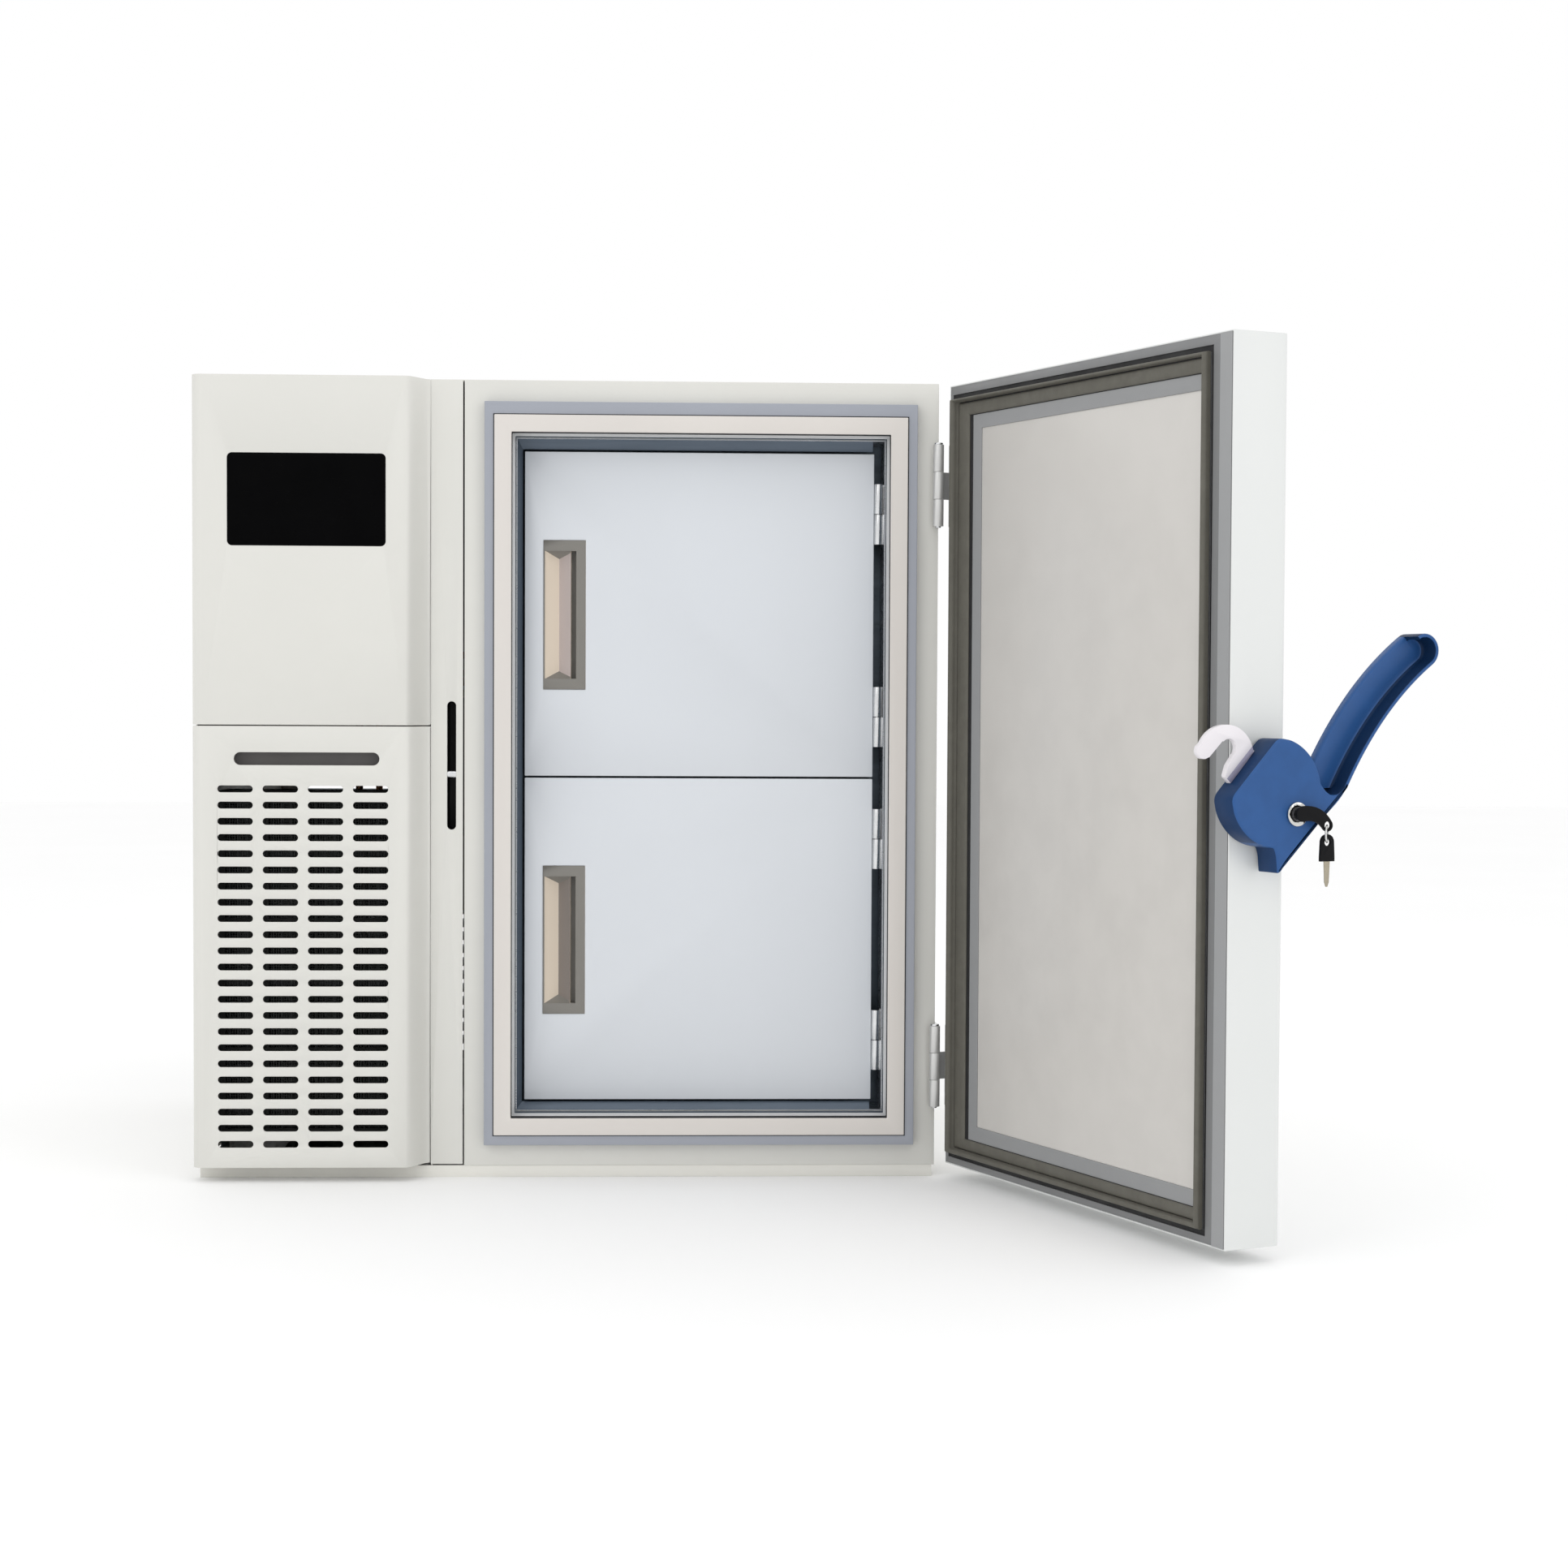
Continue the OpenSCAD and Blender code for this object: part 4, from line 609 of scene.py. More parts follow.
def make_finishes(c):
    """Every finish of the freezer, by its own name."""
    m = MATERIALS
    m["cabinet"] = powder_coat("cabinet_paint", c.cabinet)
    m["door"] = powder_coat("door_paint", c.door, 0.38)
    m["inner"] = moulded("inner_door_facing", c.inner, 0.34, 500, 0.00004, 0.975, Coat_Weight=0.15)
    m["cream"] = moulded("cream_plastic", c.cream, 0.5)
    m["trim"] = moulded("grey_trim", c.trim, 0.46)
    m["slate"] = brushed("slate_liner", c.slate, 0.38, (0.05, 1, 1), 0.35)
    m["skirt"] = brushed("throat_skirt", (0.10, 0.13, 0.17), 0.36, (0.05, 1, 1), 0.35)
    m["stainless"] = brushed("stainless_chamber", (0.55, 0.57, 0.60), 0.3, (0.04, 1, 1))
    m["bright"] = brushed("bright_steel", (0.72, 0.73, 0.74), 0.22, (1, 1, 0.06))
    m["galvanised"] = brushed("galvanised_sheet", (0.50, 0.52, 0.53), 0.42, (1, 1, 0.1))
    m["chrome"] = brushed("lock_chrome", (0.62, 0.62, 0.60), 0.08, (1, 1, 1), 1.0, 0.00001)
    m["copper"] = brushed("copper_tube", (0.62, 0.30, 0.16), 0.32, (1, 1, 0.1))
    # The fins are dark: a painted shade for the bay's inside as seen through the grille
    m["fin"] = brushed("fin_aluminium_painted_shade", (0.09, 0.095, 0.10), 0.45, (1, 0.1, 1), 0.6)
    m["leaf"] = brushed("hinge_leaf_steel", (0.66, 0.66, 0.65), 0.36, (1, 1, 0.1), 0.45)
    m["plug"] = brushed("lock_plug_steel", (0.10, 0.10, 0.11), 0.28, (1, 1, 1), 0.8, 0.00001)
    m["black"] = moulded("black_plastic", (0.008, 0.008, 0.009), 0.40, Specular_IOR_Level=0.08)
    # Black: the real colour of the latch's slot insert, and painted shade in recesses, grooves, the seal's foot,
    # the ring's inner side and the bay
    m["pocket"] = moulded("black_insert_and_painted_shade", (0.006, 0.006, 0.007), 0.6)
    m["recess"] = moulded("grey_recess", (0.125, 0.118, 0.116), 0.55)
    m["filter"] = moulded("filter_frame", (0.012, 0.013, 0.012), 0.7)
    m["wire"] = brushed("filter_wire", (0.06, 0.065, 0.06), 0.5, (1, 1, 0.2), 0.4)
    m["lip"] = moulded("throat_lip", (0.74, 0.75, 0.76), 0.4)
    # A lighter copy of the cabinet's paint for the base tray: painted light against its shadow
    m["sill"] = powder_coat("base_tray_painted_light", (0.80, 0.79, 0.74))
    m["motor"] = powder_coat("black_enamel", (0.012, 0.012, 0.013), 0.35, 0.0001)
    m["border"] = moulded("door_border", c.border, 0.4)
    # Lighter and darker copies of the border's grey: painted light on a strip of the free side, painted shade on
    # the border's outer band
    m["border_light_painted"] = moulded("door_border_painted_light", shade(c.border, 1.12), 0.4)
    m["border_rim"] = moulded("door_border_rim", shade(c.border, 0.68), 0.4)
    m["gasket"] = rubber("gasket_vinyl", c.gasket)
    m["seal"] = rubber("inner_seal", (0.03, 0.032, 0.035))
    m["hook"] = powder_coat("hook_paint", c.hook, 0.34)
    # Lilac grey for the hook's chamfer: painted shade where the white hook meets the blue housing
    m["hook_chamfer_shade"] = powder_coat("hook_chamfer_shade", (0.42, 0.40, 0.52), 0.34)
    m["tray"] = moulded("pull_tray", c.tray, 0.4, 500, 0.00004)
    # Lit and shaded copies of the pulls' moulding for their two slopes, darker still on the lower pull: painted
    # light and painted shade
    m["tray_light"] = moulded("pull_tray_slope_painted_light", c.tray_light, 0.38, 500, 0.00004)
    m["tray_shade"] = moulded("pull_tray_far_slope_painted_shade", (0.52, 0.45, 0.43), 0.38, 500, 0.00004)
    m["tray_dark"] = moulded("pull_tray_dark_slope", (0.24, 0.21, 0.19), 0.38, 500, 0.00004)
    m["foam"] = moulded("foam", (0.70, 0.58, 0.32), 0.9, 160, 0.0004)
    m["brass"] = brushed("key_blade", (0.40, 0.36, 0.28), 0.34)
    m["grommet"] = moulded("port_plastic", (0.66, 0.66, 0.62), 0.5)

    f = Finish("handle_paint", c.handle, 0.40, Coat_Weight=0.06, Coat_Roughness=0.3, Specular_IOR_Level=0.28)
    f.tint(f.noise(7, 4), shade(c.handle, 1.25), 0.7)
    f.tint(f.noise(60, 4), shade(c.handle, 0.85), 0.4)
    f.rough(f.noise(25, 4), 0.34, 0.48)
    f.bump(f.noise(900, 2), 0.00006, 0.6)
    m["handle"] = f.material

    # Darker copies of the blue paint, which are painted shade: one for the hollow inner side of the lever's wall,
    # one for the housing's side band
    for name, factor in (("trough_shade", 0.26), ("handle_side_shade", 0.42)):
        f = Finish(name + "_paint", shade(c.handle, factor), 0.46, Specular_IOR_Level=0.15)
        f.tint(f.noise(9, 4), shade(c.handle, factor * 1.3), 0.7)
        f.bump(f.noise(700, 2), 0.00006, 0.6)
        m[name] = f.material

    f = Finish("screen_glass", (0.0008, 0.0008, 0.001), 0.3, Specular_IOR_Level=0.03)
    f.tint(f.noise(20, 3), (0.0014, 0.0014, 0.0016), 0.8)
    f.rough(f.noise(45, 5), 0.24, 0.36)
    m["glass"] = f.material

    f = Finish("glossy_panel", c.door_panel, 0.34, Coat_Weight=0.12, Coat_Roughness=0.2)
    f.tint(f.noise(1.8, 3), shade(c.door_panel, 0.93), 0.9)
    f.tint(f.noise(24, 4), shade(c.door_panel, 1.03), 0.5)
    f.rough(f.noise(12, 4), 0.30, 0.42)
    f.bump(f.noise(9, 2, (1, 1, 0.6)), 0.0004, 0.15)
    m["panel"] = f.material
    return m


# Operators, one for each group of pieces
class FREEZER_OT_studio(Operator):
    """Floor, backdrop, soft lights and the camera of the photograph's viewing angle"""

    bl_idname = "freezer.studio"
    bl_label = "Studio"

    def execute(self, context):
        scene = context.scene
        s = scene.freezer_studio
        scene.view_settings.view_transform = "Standard"
        camera = bpy.data.cameras.new("photo_camera")
        camera.sensor_fit = "HORIZONTAL"
        camera.sensor_width = SENSOR_MM
        camera.lens = FOCAL_PX * SENSOR_MM / PICTURE_PX
        camera.clip_start = 0.05
        obj = bpy.data.objects.new("photo_camera", camera)
        yaw, pitch, roll = CAMERA_TURN
        ahead = Vector((-math.sin(yaw) * math.cos(pitch), math.cos(yaw) * math.cos(pitch), -math.sin(pitch)))
        right = Vector((math.cos(yaw), math.sin(yaw), 0))
        up = right.cross(ahead)
        right_rolled = math.cos(roll) * right + math.sin(roll) * up
        up_rolled = math.cos(roll) * up - math.sin(roll) * right
        turn = Matrix((right_rolled, up_rolled, -ahead)).transposed().to_4x4()
        obj.matrix_world = Matrix.Translation(CAMERA_PLACE) @ turn
        scene.collection.objects.link(obj)
        scene.camera = obj

        f = Finish("studio_floor", s.floor, 0.75)
        f.tint(f.noise(1.5, 3), shade(s.floor, 0.985), 0.6)
        work = bmesh.new()
        bmesh.ops.create_grid(work, x_segments=24, y_segments=24, size=9)
        floor = bpy.data.objects.new("studio_floor", as_mesh(work, "studio_floor"))
        floor.data.materials.append(f.material)
        scene.collection.objects.link(floor)

        world = bpy.data.worlds.new("studio_sky")
        world.use_nodes = True
        background = world.node_tree.nodes["Background"]
        background.inputs["Color"].default_value = (1, 1, 1, 1)
        background.inputs["Strength"].default_value = s.sky
        scene.world = world

        def soft(name, place, aim, size, power):
            data = bpy.data.lights.new(name, "AREA")
            data.shape = "RECTANGLE"
            data.size, data.size_y = size
            data.energy = power
            lamp = bpy.data.objects.new(name, data)
            lamp.location = place
            lamp.rotation_euler = (Vector(aim) - Vector(place)).to_track_quat("-Z", "Y").to_euler()
            scene.collection.objects.link(lamp)

        soft("key_light", (-2.2, -3.2, 2.6), (0, -0.2, 0.45), (1.8, 1.8), s.key)
        soft("fill_light", (2.8, -3.0, 1.6), (0.2, -0.2, 0.4), (1.6, 1.6), s.fill)
        soft("top_light", (0.0, -0.8, 3.2), (0, -0.1, 0.4), (2.4, 1.6), s.fill)
        return {"FINISHED"}


def at_seam(edge):
    """Whether an edge runs along the joint between the bulged panels and the latch's strip."""
    return all(abs(vert.co.x - SEAM_X) < SEAM_NEAR for vert in edge.verts)


class FREEZER_OT_cabinet(Operator):
    """Painted sheets of the cabinet, its tray, feet and rear"""

    bl_idname = "freezer.cabinet"
    bl_label = "Cabinet"

    def execute(self, context):
        m, s = MATERIALS, context.scene.freezer_sizes
        for node in ("top_panel", "left_panel", "right_panel", "front_frame", "rear_panel"):
            soften(node, [m["cabinet"]], s.fold)

        def meet_panels(work):
            """The strip's edge goes up to the bulged panels, so that the joint is a hairline."""
            for vert in work.verts:
                if abs(vert.co.x - SEAM_X) < SEAM_NEAR / 10:
                    vert.co.x -= SEAM_CLOSE

        soften("latch_strip", [m["cabinet"]], s.fold, plain=at_seam, reshape=meet_panels)
        # The base tray takes the lighter paint: painted light
        soften("base_tray", [m["sill"]], s.fold * 0.7)
        dress(m["galvanised"], "rear_grille")
        # The divider is black: a painted shade for the bay's inside as seen through the grille
        dress(m["pocket"], "bay_divider")
        dress(m["bright"], "levelling_feet")
        dress(m["foam"], "insulation_foam")
        soften("access_port", [m["grommet"]], s.mould)
        return {"FINISHED"}


class FREEZER_OT_opening(Operator):
    """Rings, liner, shelf and stop frame of the storage opening"""

    bl_idname = "freezer.opening"
    bl_label = "Storage opening"

    def execute(self, context):
        m, s = MATERIALS, context.scene.freezer_sizes
        soften("seat_ring", [m["trim"]], s.mould)
        low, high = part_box("breaker_frame")
        front, middle = low.y, (low + high) / 2

        def part_of_ring(centre, normal):
            """0 for the cream face, 1 for its shaded inner side, 2 for the lip, 3 for the throat."""
            depth = (centre.y - front) / MM
            if depth < BREAKER_FACE:
                return 0
            if depth > BREAKER_DEPTH + 0.3:
                return 3
            if normal.y < -0.5:
                return 2
            inward = Vector((middle.x - centre.x, 0, middle.z - centre.z))
            return 1 if inward.dot(normal) > 0 else 0

        soften("breaker_frame", [m["cream"], m["pocket"], m["lip"], m["slate"]], s.mould * 1.6, 3,
               pick=part_of_ring)
        rim = [v.co for v in NODES["breaker_frame"].data.vertices if v.co.y < front + MM]
        inner = (min(p.x for p in rim), max(p.x for p in rim), min(p.z for p in rim), max(p.z for p in rim))
        # A thin dark bead round the cream ring's edge: a painted shadow
        wide = SHADOW_LINE_WIDE * MM
        outer = (inner[0] - wide, inner[1] + wide, inner[2] - wide, inner[3] + wide)
        work = ring(outer, inner, SHADOW_LINE_PROFILE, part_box("seat_ring")[0].y)
        link(as_mesh(work, "ring_shadow_line"), "ring_shadow_line", [m["seal"]], "inner_door_seals")
        dress(m["stainless"], "inner_liner")
        self.skirt(m["skirt"])
        for node, name in (("stop_frame", "slate"), ("storage_shelf", "stainless"), ("strike_pin", "bright")):
            soften(node, [m[name]], s.mould * 0.5)
        dress(m["copper"], "evaporator_coil")
        dress(m["seal"], "inner_door_seals")
        dress(m["pocket"], "slot_pocket")
        return {"FINISHED"}

    def skirt(self, material):
        """Sloping strips between the liner and the free edges of the inner doors."""
        low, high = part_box("inner_liner")
        below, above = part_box("lower_inner_door"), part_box("upper_inner_door")
        wall, gap, hinge_clear, sheet = in_mm(SKIRT_WALL, SKIRT_GAP, SKIRT_HINGE_CLEAR, SKIRT_SHEET)
        front, back = low.y + SKIRT_FRONT * MM, below[0].y + SKIRT_BACK * MM
        x0, x1, z0, z1 = low.x + wall, high.x - hinge_clear, low.z + wall, high.z - wall
        door_x, door_low, door_high = below[0].x - gap, below[0].z - gap, above[1].z + gap
        strips = (
            ((x0, z0), (x0, z1), (door_x, z1), (door_x, z0)),
            ((x0, z0), (x1, z0), (x1, door_low), (x0, door_low)),
            ((x0, z1), (x1, z1), (x1, door_high), (x0, door_high)),
        )
        parts = []
        for a, b, c, d in strips:
            face = [(a[0], front, a[1]), (b[0], front, b[1]), (c[0], back, c[1]), (d[0], back, d[1])]
            rear = [(x, y + sheet, z) for x, y, z in face]
            parts.append(loft([face, rear], True))
        link(joined(parts, "throat_skirt"), "throat_skirt", [material], "stop_frame")


class FREEZER_OT_bay_front(Operator):
    """Bulged panels of the machine bay, with the screen, the grille and the finger slot"""

    bl_idname = "freezer.bay_front"
    bl_label = "Bay front"

    def execute(self, context):
        m, s = MATERIALS, context.scene.freezer_sizes
        soften("upper_front_panel", [m["cabinet"]], s.fold * 0.8, plain=at_seam)
        soften("service_cover", [m["cabinet"]], s.fold * 0.5, 2, 50, plain=at_seam)
        soften("touch_display", [m["glass"]], s.mould * 0.5)
        soften("finger_recess", [m["recess"]], s.mould * 0.5)
        # The pivots are black: a painted shade for the bay's inside as seen through the grille
        dress(m["black"], "cover_pivots")
        return {"FINISHED"}


# The filter's wires and how far they lie behind its front, in millimetres
FILTER_WIRE = 0.5
FILTER_MESH_IN = 4.6

# The condenser's fine fins in millimetres: their middle's height, the space beside the row, and one fin
FIN_MIDDLE = 216
FIN_MARGIN = 2
FIN_SIZE = (0.25, 34, 340)


class FREEZER_OT_machinery(Operator):
    """Filter, condenser, fan, compressors, pipes and electrical parts in the bay"""

    bl_idname = "freezer.machinery"
    bl_label = "Machinery"

    def execute(self, context):
        m, s = MATERIALS, context.scene.freezer_sizes
        dress(m["filter"], "dust_filter")
        low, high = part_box("dust_filter")
        wide, tall, thick = high.x - low.x, high.z - low.z, FILTER_WIRE * MM
        middle, across, up = (low + high) / 2, int(wide / s.mesh_pitch), int(tall / s.mesh_pitch)
        depth = low.y + FILTER_MESH_IN * MM
        uprights = row_of_bars("filter_uprights", across, (low.x, depth, middle.z), (wide / across, 0, 0),
                               (thick, thick, tall), m["wire"])
        levels = row_of_bars("filter_levels", up, (middle.x, depth + thick, low.z), (0, 0, tall / up),
                             (wide, thick, thick), m["wire"])
        whole = bmesh.new()
        for mesh in (uprights, levels):
            whole.from_mesh(mesh)
        link(as_mesh(whole, "filter_mesh"), "filter_mesh", [m["wire"]], "dust_filter")
        # The condenser takes the dark fin finish, which is painted shade
        dress(m["fin"], "condenser")
        low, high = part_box("condenser")
        start, end = low.x + FIN_MARGIN * MM, high.x - FIN_MARGIN * MM
        fins = row_of_bars("condenser_fins", s.fins, (start, (low.y + high.y) / 2, FIN_MIDDLE * MM),
                           ((end - start) / s.fins, 0, 0), in_mm(*FIN_SIZE), m["fin"])
        link(fins, "fine_fins", [m["fin"]], "condenser")
        dress(m["black"], "fan_shroud", "fan_blade", "mains_inlet", "power_rocker")
        dress(m["motor"], "fan_motor", "first_compressor", "second_compressor")
        dress(m["foam"], "heat_exchanger")
        dress(m["copper"], "refrigerant_pipes")
        dress(m["galvanised"], "electrical_box")
        return {"FINISHED"}


# Places on the inside of the closed outer door in millimetres: moves of the border's recess and of the
# panel's edges as (from, to), and rectangles as (left, right, low, high)
RECESS_X = ((-100.5, -78.2), (-96.5, -74.6), (-44.5, -62.9), (370.5, 370.7), (366.5, 366.0), (314.5, 314.3))
RECESS_Z = ((21.5, 22.4), (25.5, 27.4), (61.5, 60.5), (765.5, 764.8), (805.5, 802.6), (801.5, 796.6))
RECESS_INNER = (-74.6, 366.0, 27.4, 796.6)
STRIP_OUTER = (-62.9, 330.6, 45.8, 778.8)
BEAD_OUTER = (-74.5, 365.9, 27.5, 797.4)
BEAD_INNER = (-66.4, 356.8, 33.6, 793.6)
FLANGE_OUTER = (-73.5, 356.3, 34.2, 792.3)
FLANGE_INNER = (-67.5, 336.1, 45.2, 779.6)
# The lighter strip on the border's free side is painted light
PAINTED_LIGHT_STRIP = (-105.6, -88.4, 15.8, 811.2)

# How near a place has to be to be moved, and the depths of the faces in the recess, in millimetres
MOVE_NEAR = 0.06
RECESS_DEPTHS = ((0.4, 0.78), (1.1, 1.4))

# Sections of the seal as (share of the way in, share of its height or millimetres up)
STRIP_PROFILE = ((0, 0), (0, 0.35), (1, 0.35), (1, 0))
BEAD_PROFILE = ((0, 0), (0, 0.25), (0.06, 0.32), (0.08, 0.55), *arc((0.5, 0.58), 0.42, 178, 2, 10),
                (0.92, 0.55), (0.96, 0.3), (1, 0.25), (1, 0))
FLANGE_PROFILE = ((0, 0), (0, 1.2), (0.04, 1.9), (0.16, 2.5), (0.5, 2.7), (0.84, 2.4), (0.96, 1.6), (1, 1.0),
                  (1, 0))
SEAL_RINGS = ((RECESS_INNER, STRIP_OUTER, STRIP_PROFILE, 1, 0.0),
              (BEAD_OUTER, BEAD_INNER, BEAD_PROFILE, 9.4, 1.5),
              (FLANGE_OUTER, FLANGE_INNER, FLANGE_PROFILE, 1, 1.0))

# The bead is lower on the free side, which meets the cream ring: that side's width, the share of the height
# that is left, and the height that only the bead reaches
FREE_SIDE = 20 * MM
FREE_SIDE_HIGH = 0.68
BEAD_ONLY = 3 * MM

# Thickness of the thin strips on the border's face
STRIP_HIGH = 0.4 * MM


class FREEZER_OT_outer_door(Operator):
    """Shell, border, glossy sheet and gasket of the outer door"""

    bl_idname = "freezer.outer_door"
    bl_label = "Outer door"

    def execute(self, context):
        m, s = MATERIALS, context.scene.freezer_sizes
        soften("door_shell", [m["door"]], s.fold * 1.2, 3)
        dress(m["foam"], "door_foam")
        face_y = closed_box("door_gasket")[0].y
        forth = door_matrix()
        back = forth.inverted()

        def fitted(work):
            """The border's recess and the panel's edges go where the seal leaves room for them."""
            for vert in work.verts:
                place = back @ vert.co
                for axis, moves in ((0, RECESS_X), (2, RECESS_Z)):
                    for old, new in moves:
                        if abs(place[axis] / MM - old) < MOVE_NEAR:
                            place[axis] = new * MM
                            break
                vert.co = forth @ place

        border = soften("door_border", [m["border"], m["pocket"], m["border_rim"]], s.mould * 0.4,
                        reshape=fitted)
        x0, x1, z0, z1 = in_mm(*RECESS_INNER)
        places = [back @ vert.co for vert in border.data.vertices]
        # Faces in the recess take the black, a painted shadow; faces outside the seal take the darker grey,
        # painted shade
        for face in border.data.polygons:
            corners = [places[i] for i in face.vertices]
            deep = (face_y - sum(c.y for c in corners) / len(corners)) / MM
            in_shaded_recess = any(low < deep < high for low, high in RECESS_DEPTHS)
            on_shaded_rim = all(not (x0 - MM < c.x < x1 + MM and z0 - MM < c.z < z1 + MM) for c in corners)
            face.material_index = 1 if in_shaded_recess else 2 if on_shaded_rim else 0
        soften("door_liner", [m["panel"]], s.mould * 0.5, reshape=fitted)
        self.seal(m, face_y, forth)

        # A thin lighter strip on the border's free side: painted light
        x0, x1, z0, z1 = in_mm(*PAINTED_LIGHT_STRIP)
        work = loft([[(x, y, z) for x, z in ((x0, z0), (x1, z0), (x1, z1), (x0, z1))]
                     for y in (face_y, face_y + STRIP_HIGH)], True)
        link(as_mesh(work, "border_light_painted", forth), "border_light_painted", [m["border_light_painted"]], "door_border")
        return {"FINISHED"}

    def seal(self, m, face_y, forth):
        """The seal's black base strip, which is a painted shadow at the bead's foot, its bead and its flange."""
        parts = []
        for outer, inner, profile, high, corner in SEAL_RINGS:
            rows = [(share, height * high * MM) for share, height in profile]
            part = ring(in_mm(*outer), in_mm(*inner), rows, face_y, corner * MM, 4)
            free = in_mm(*outer)[0] + FREE_SIDE
            for vert in part.verts:
                if vert.co.x < free and vert.co.y > face_y + BEAD_ONLY:
                    vert.co.y = face_y + (vert.co.y - face_y) * FREE_SIDE_HIGH
            parts.append(part)
        mesh = joined(parts, "gasket_profile", forth, 50)
        link(mesh, "gasket_profile", [m["gasket"], m["pocket"]], "door_gasket", ("door_gasket",))
        back = forth.inverted()
        for face in mesh.polygons:
            # The base strip takes the black: painted shadow
            face.material_index = 1 if (back @ face.center).y < face_y + STRIP_HIGH else 0


# The latch's outlines in millimetres across and up from its pivot, its lever's section, and where the lock,
# the key's hole and the split ring are
HOUSING_RADIUS = 47.5
HOUSING_FLAT = 31.7
HOUSING_TURN = 136.5
HOUSING_TAIL = (
    (0, -54), (0.8, -63), (1.4, -69.8), (5.5, -68), (9.4, -61.6), (20.8, -49.6), (38, -32.1), (54.2, -19.0),
    (66, -8.3), (71.5, -1.9), (75.4, 3.4), (77.3, 7.0), (74.9, 8.6), (70.5, 2.2), (64.5, -2.2), (58, -2.8),
    (51.6, 1.6))
HOUSING_START, HOUSING_END, HOUSING_CORNER, CORNER_TRIM = 8.9, 267, 9, 16
CHAMFER_WIDE = 6.0
CHAMFER_DEEP = 2.6
TAIL_X = 50
LEVER_PATH = (Vector((62, 10)), Vector((101, 83)), Vector((160, 124)))
LEVER_HALF = 15.0
LEVER_WEB = 9.0
LEVER_WALL = 3.2
LEVER_ROUND = 2.4
LEVER_HOLLOW = 3.4
LEVER_CROWN = ((9.0, 0.5), (4.0, 0.7), (-1.0, 0.5), (-5.0, 0.1))
LEVER_LAG = 0.1
LEVER_STEPS = 28
END_STEPS = 16
LOCK_PLACE = Vector((20.4, -18.6))
HEAD_HOLE = LOCK_PLACE + Vector((26.3, -9.7))
RING_RADIUS = 7.3
RING_WIRE = 1.15
RING_SLANT = math.radians(45)
BOW_LOW = -16.5
KEY_HEAD = 6.6


def housing_outline():
    """The latch's round housing with its flat, and the tail that runs to the lever."""
    half = math.degrees(math.acos(HOUSING_FLAT / HOUSING_RADIUS))
    top, low = HOUSING_TURN - half, HOUSING_TURN + half
    outline = arc((0, 0), HOUSING_RADIUS, HOUSING_START, top - CORNER_TRIM, 14)
    outline += arc((0, 0), HOUSING_RADIUS, top, low, 1)
    outline += arc((0, 0), HOUSING_RADIUS, low + CORNER_TRIM, HOUSING_END, 14)
    return rounded_corners(outline + list(HOUSING_TAIL), HOUSING_CORNER)


def lever_place(t, wide):
    """A place along the lever's curve, and to the left of it by a width."""
    a, b, c = LEVER_PATH
    along = 2 * (1 - t) * (b - a) + 2 * t * (c - b)
    left = Vector((-along.y, along.x)).normalized()
    return (1 - t) ** 2 * a + 2 * t * (1 - t) * b + t * t * c + wide * left


def lever_section(low, high):
    """Width and height of the lever's section: a crowned web and a wall along its outer side."""
    web, inner, rim = low + LEVER_WEB, LEVER_WALL - LEVER_HALF, LEVER_WALL / 2
    section = [(LEVER_HALF - 0.5, low), (LEVER_HALF, low + 0.5)]
    section += arc((LEVER_HALF - LEVER_ROUND, web - LEVER_ROUND), LEVER_ROUND, 0, 90, 5)
    section += [(wide, web + rise) for wide, rise in LEVER_CROWN]
    section += arc((inner + LEVER_HOLLOW, web + LEVER_HOLLOW), LEVER_HOLLOW, 270, 180, 6)
    section += arc((inner - rim, high - rim), rim, 0, 180, 8)
    section += [(-LEVER_HALF, low + 0.5), (0.5 - LEVER_HALF, low)]
    return section


def lever(low, high):
    """The lever's section carried along its curve, slanting back at the root to meet the housing."""
    section = lever_section(low, high)
    loops = []
    for i in range(LEVER_STEPS + 1):
        t = i / LEVER_STEPS
        loop = []
        for wide, s in section:
            lag = LEVER_LAG * (wide / LEVER_HALF + 1) / 2 * (1 - t)
            place = lever_place(t - lag, wide)
            loop.append((place.x, place.y, s))
        loops.append(loop)
    return loft(loops, True)


def lever_end(low, high):
    """The wall carried round the lever's end by half a turn."""
    outer = [(wide, s) for wide, s in lever_section(low, high) if wide < 0]
    outer = [(0, low + LEVER_WEB + LEVER_CROWN[0][1])] + outer + [(0, low)]
    middle = lever_place(1, 0)
    left = lever_place(1, 1) - middle
    ahead = Vector((left.y, -left.x))
    loops = []
    for i in range(END_STEPS + 1):
        a = math.pi * i / END_STEPS
        out = ahead * math.sin(a) - left * math.cos(a)
        loops.append([(middle.x - wide * out.x, middle.y - wide * out.y, s) for wide, s in outer])
    return loft(loops, True)


def joined(parts, name, matrix=None, sharp=40):
    """Several closed skins as one mesh in their place."""
    whole = bmesh.new()
    for part in parts:
        mesh = as_mesh(part, name)
        whole.from_mesh(mesh)
        bpy.data.meshes.remove(mesh)
    return as_mesh(whole, name, matrix, sharp)


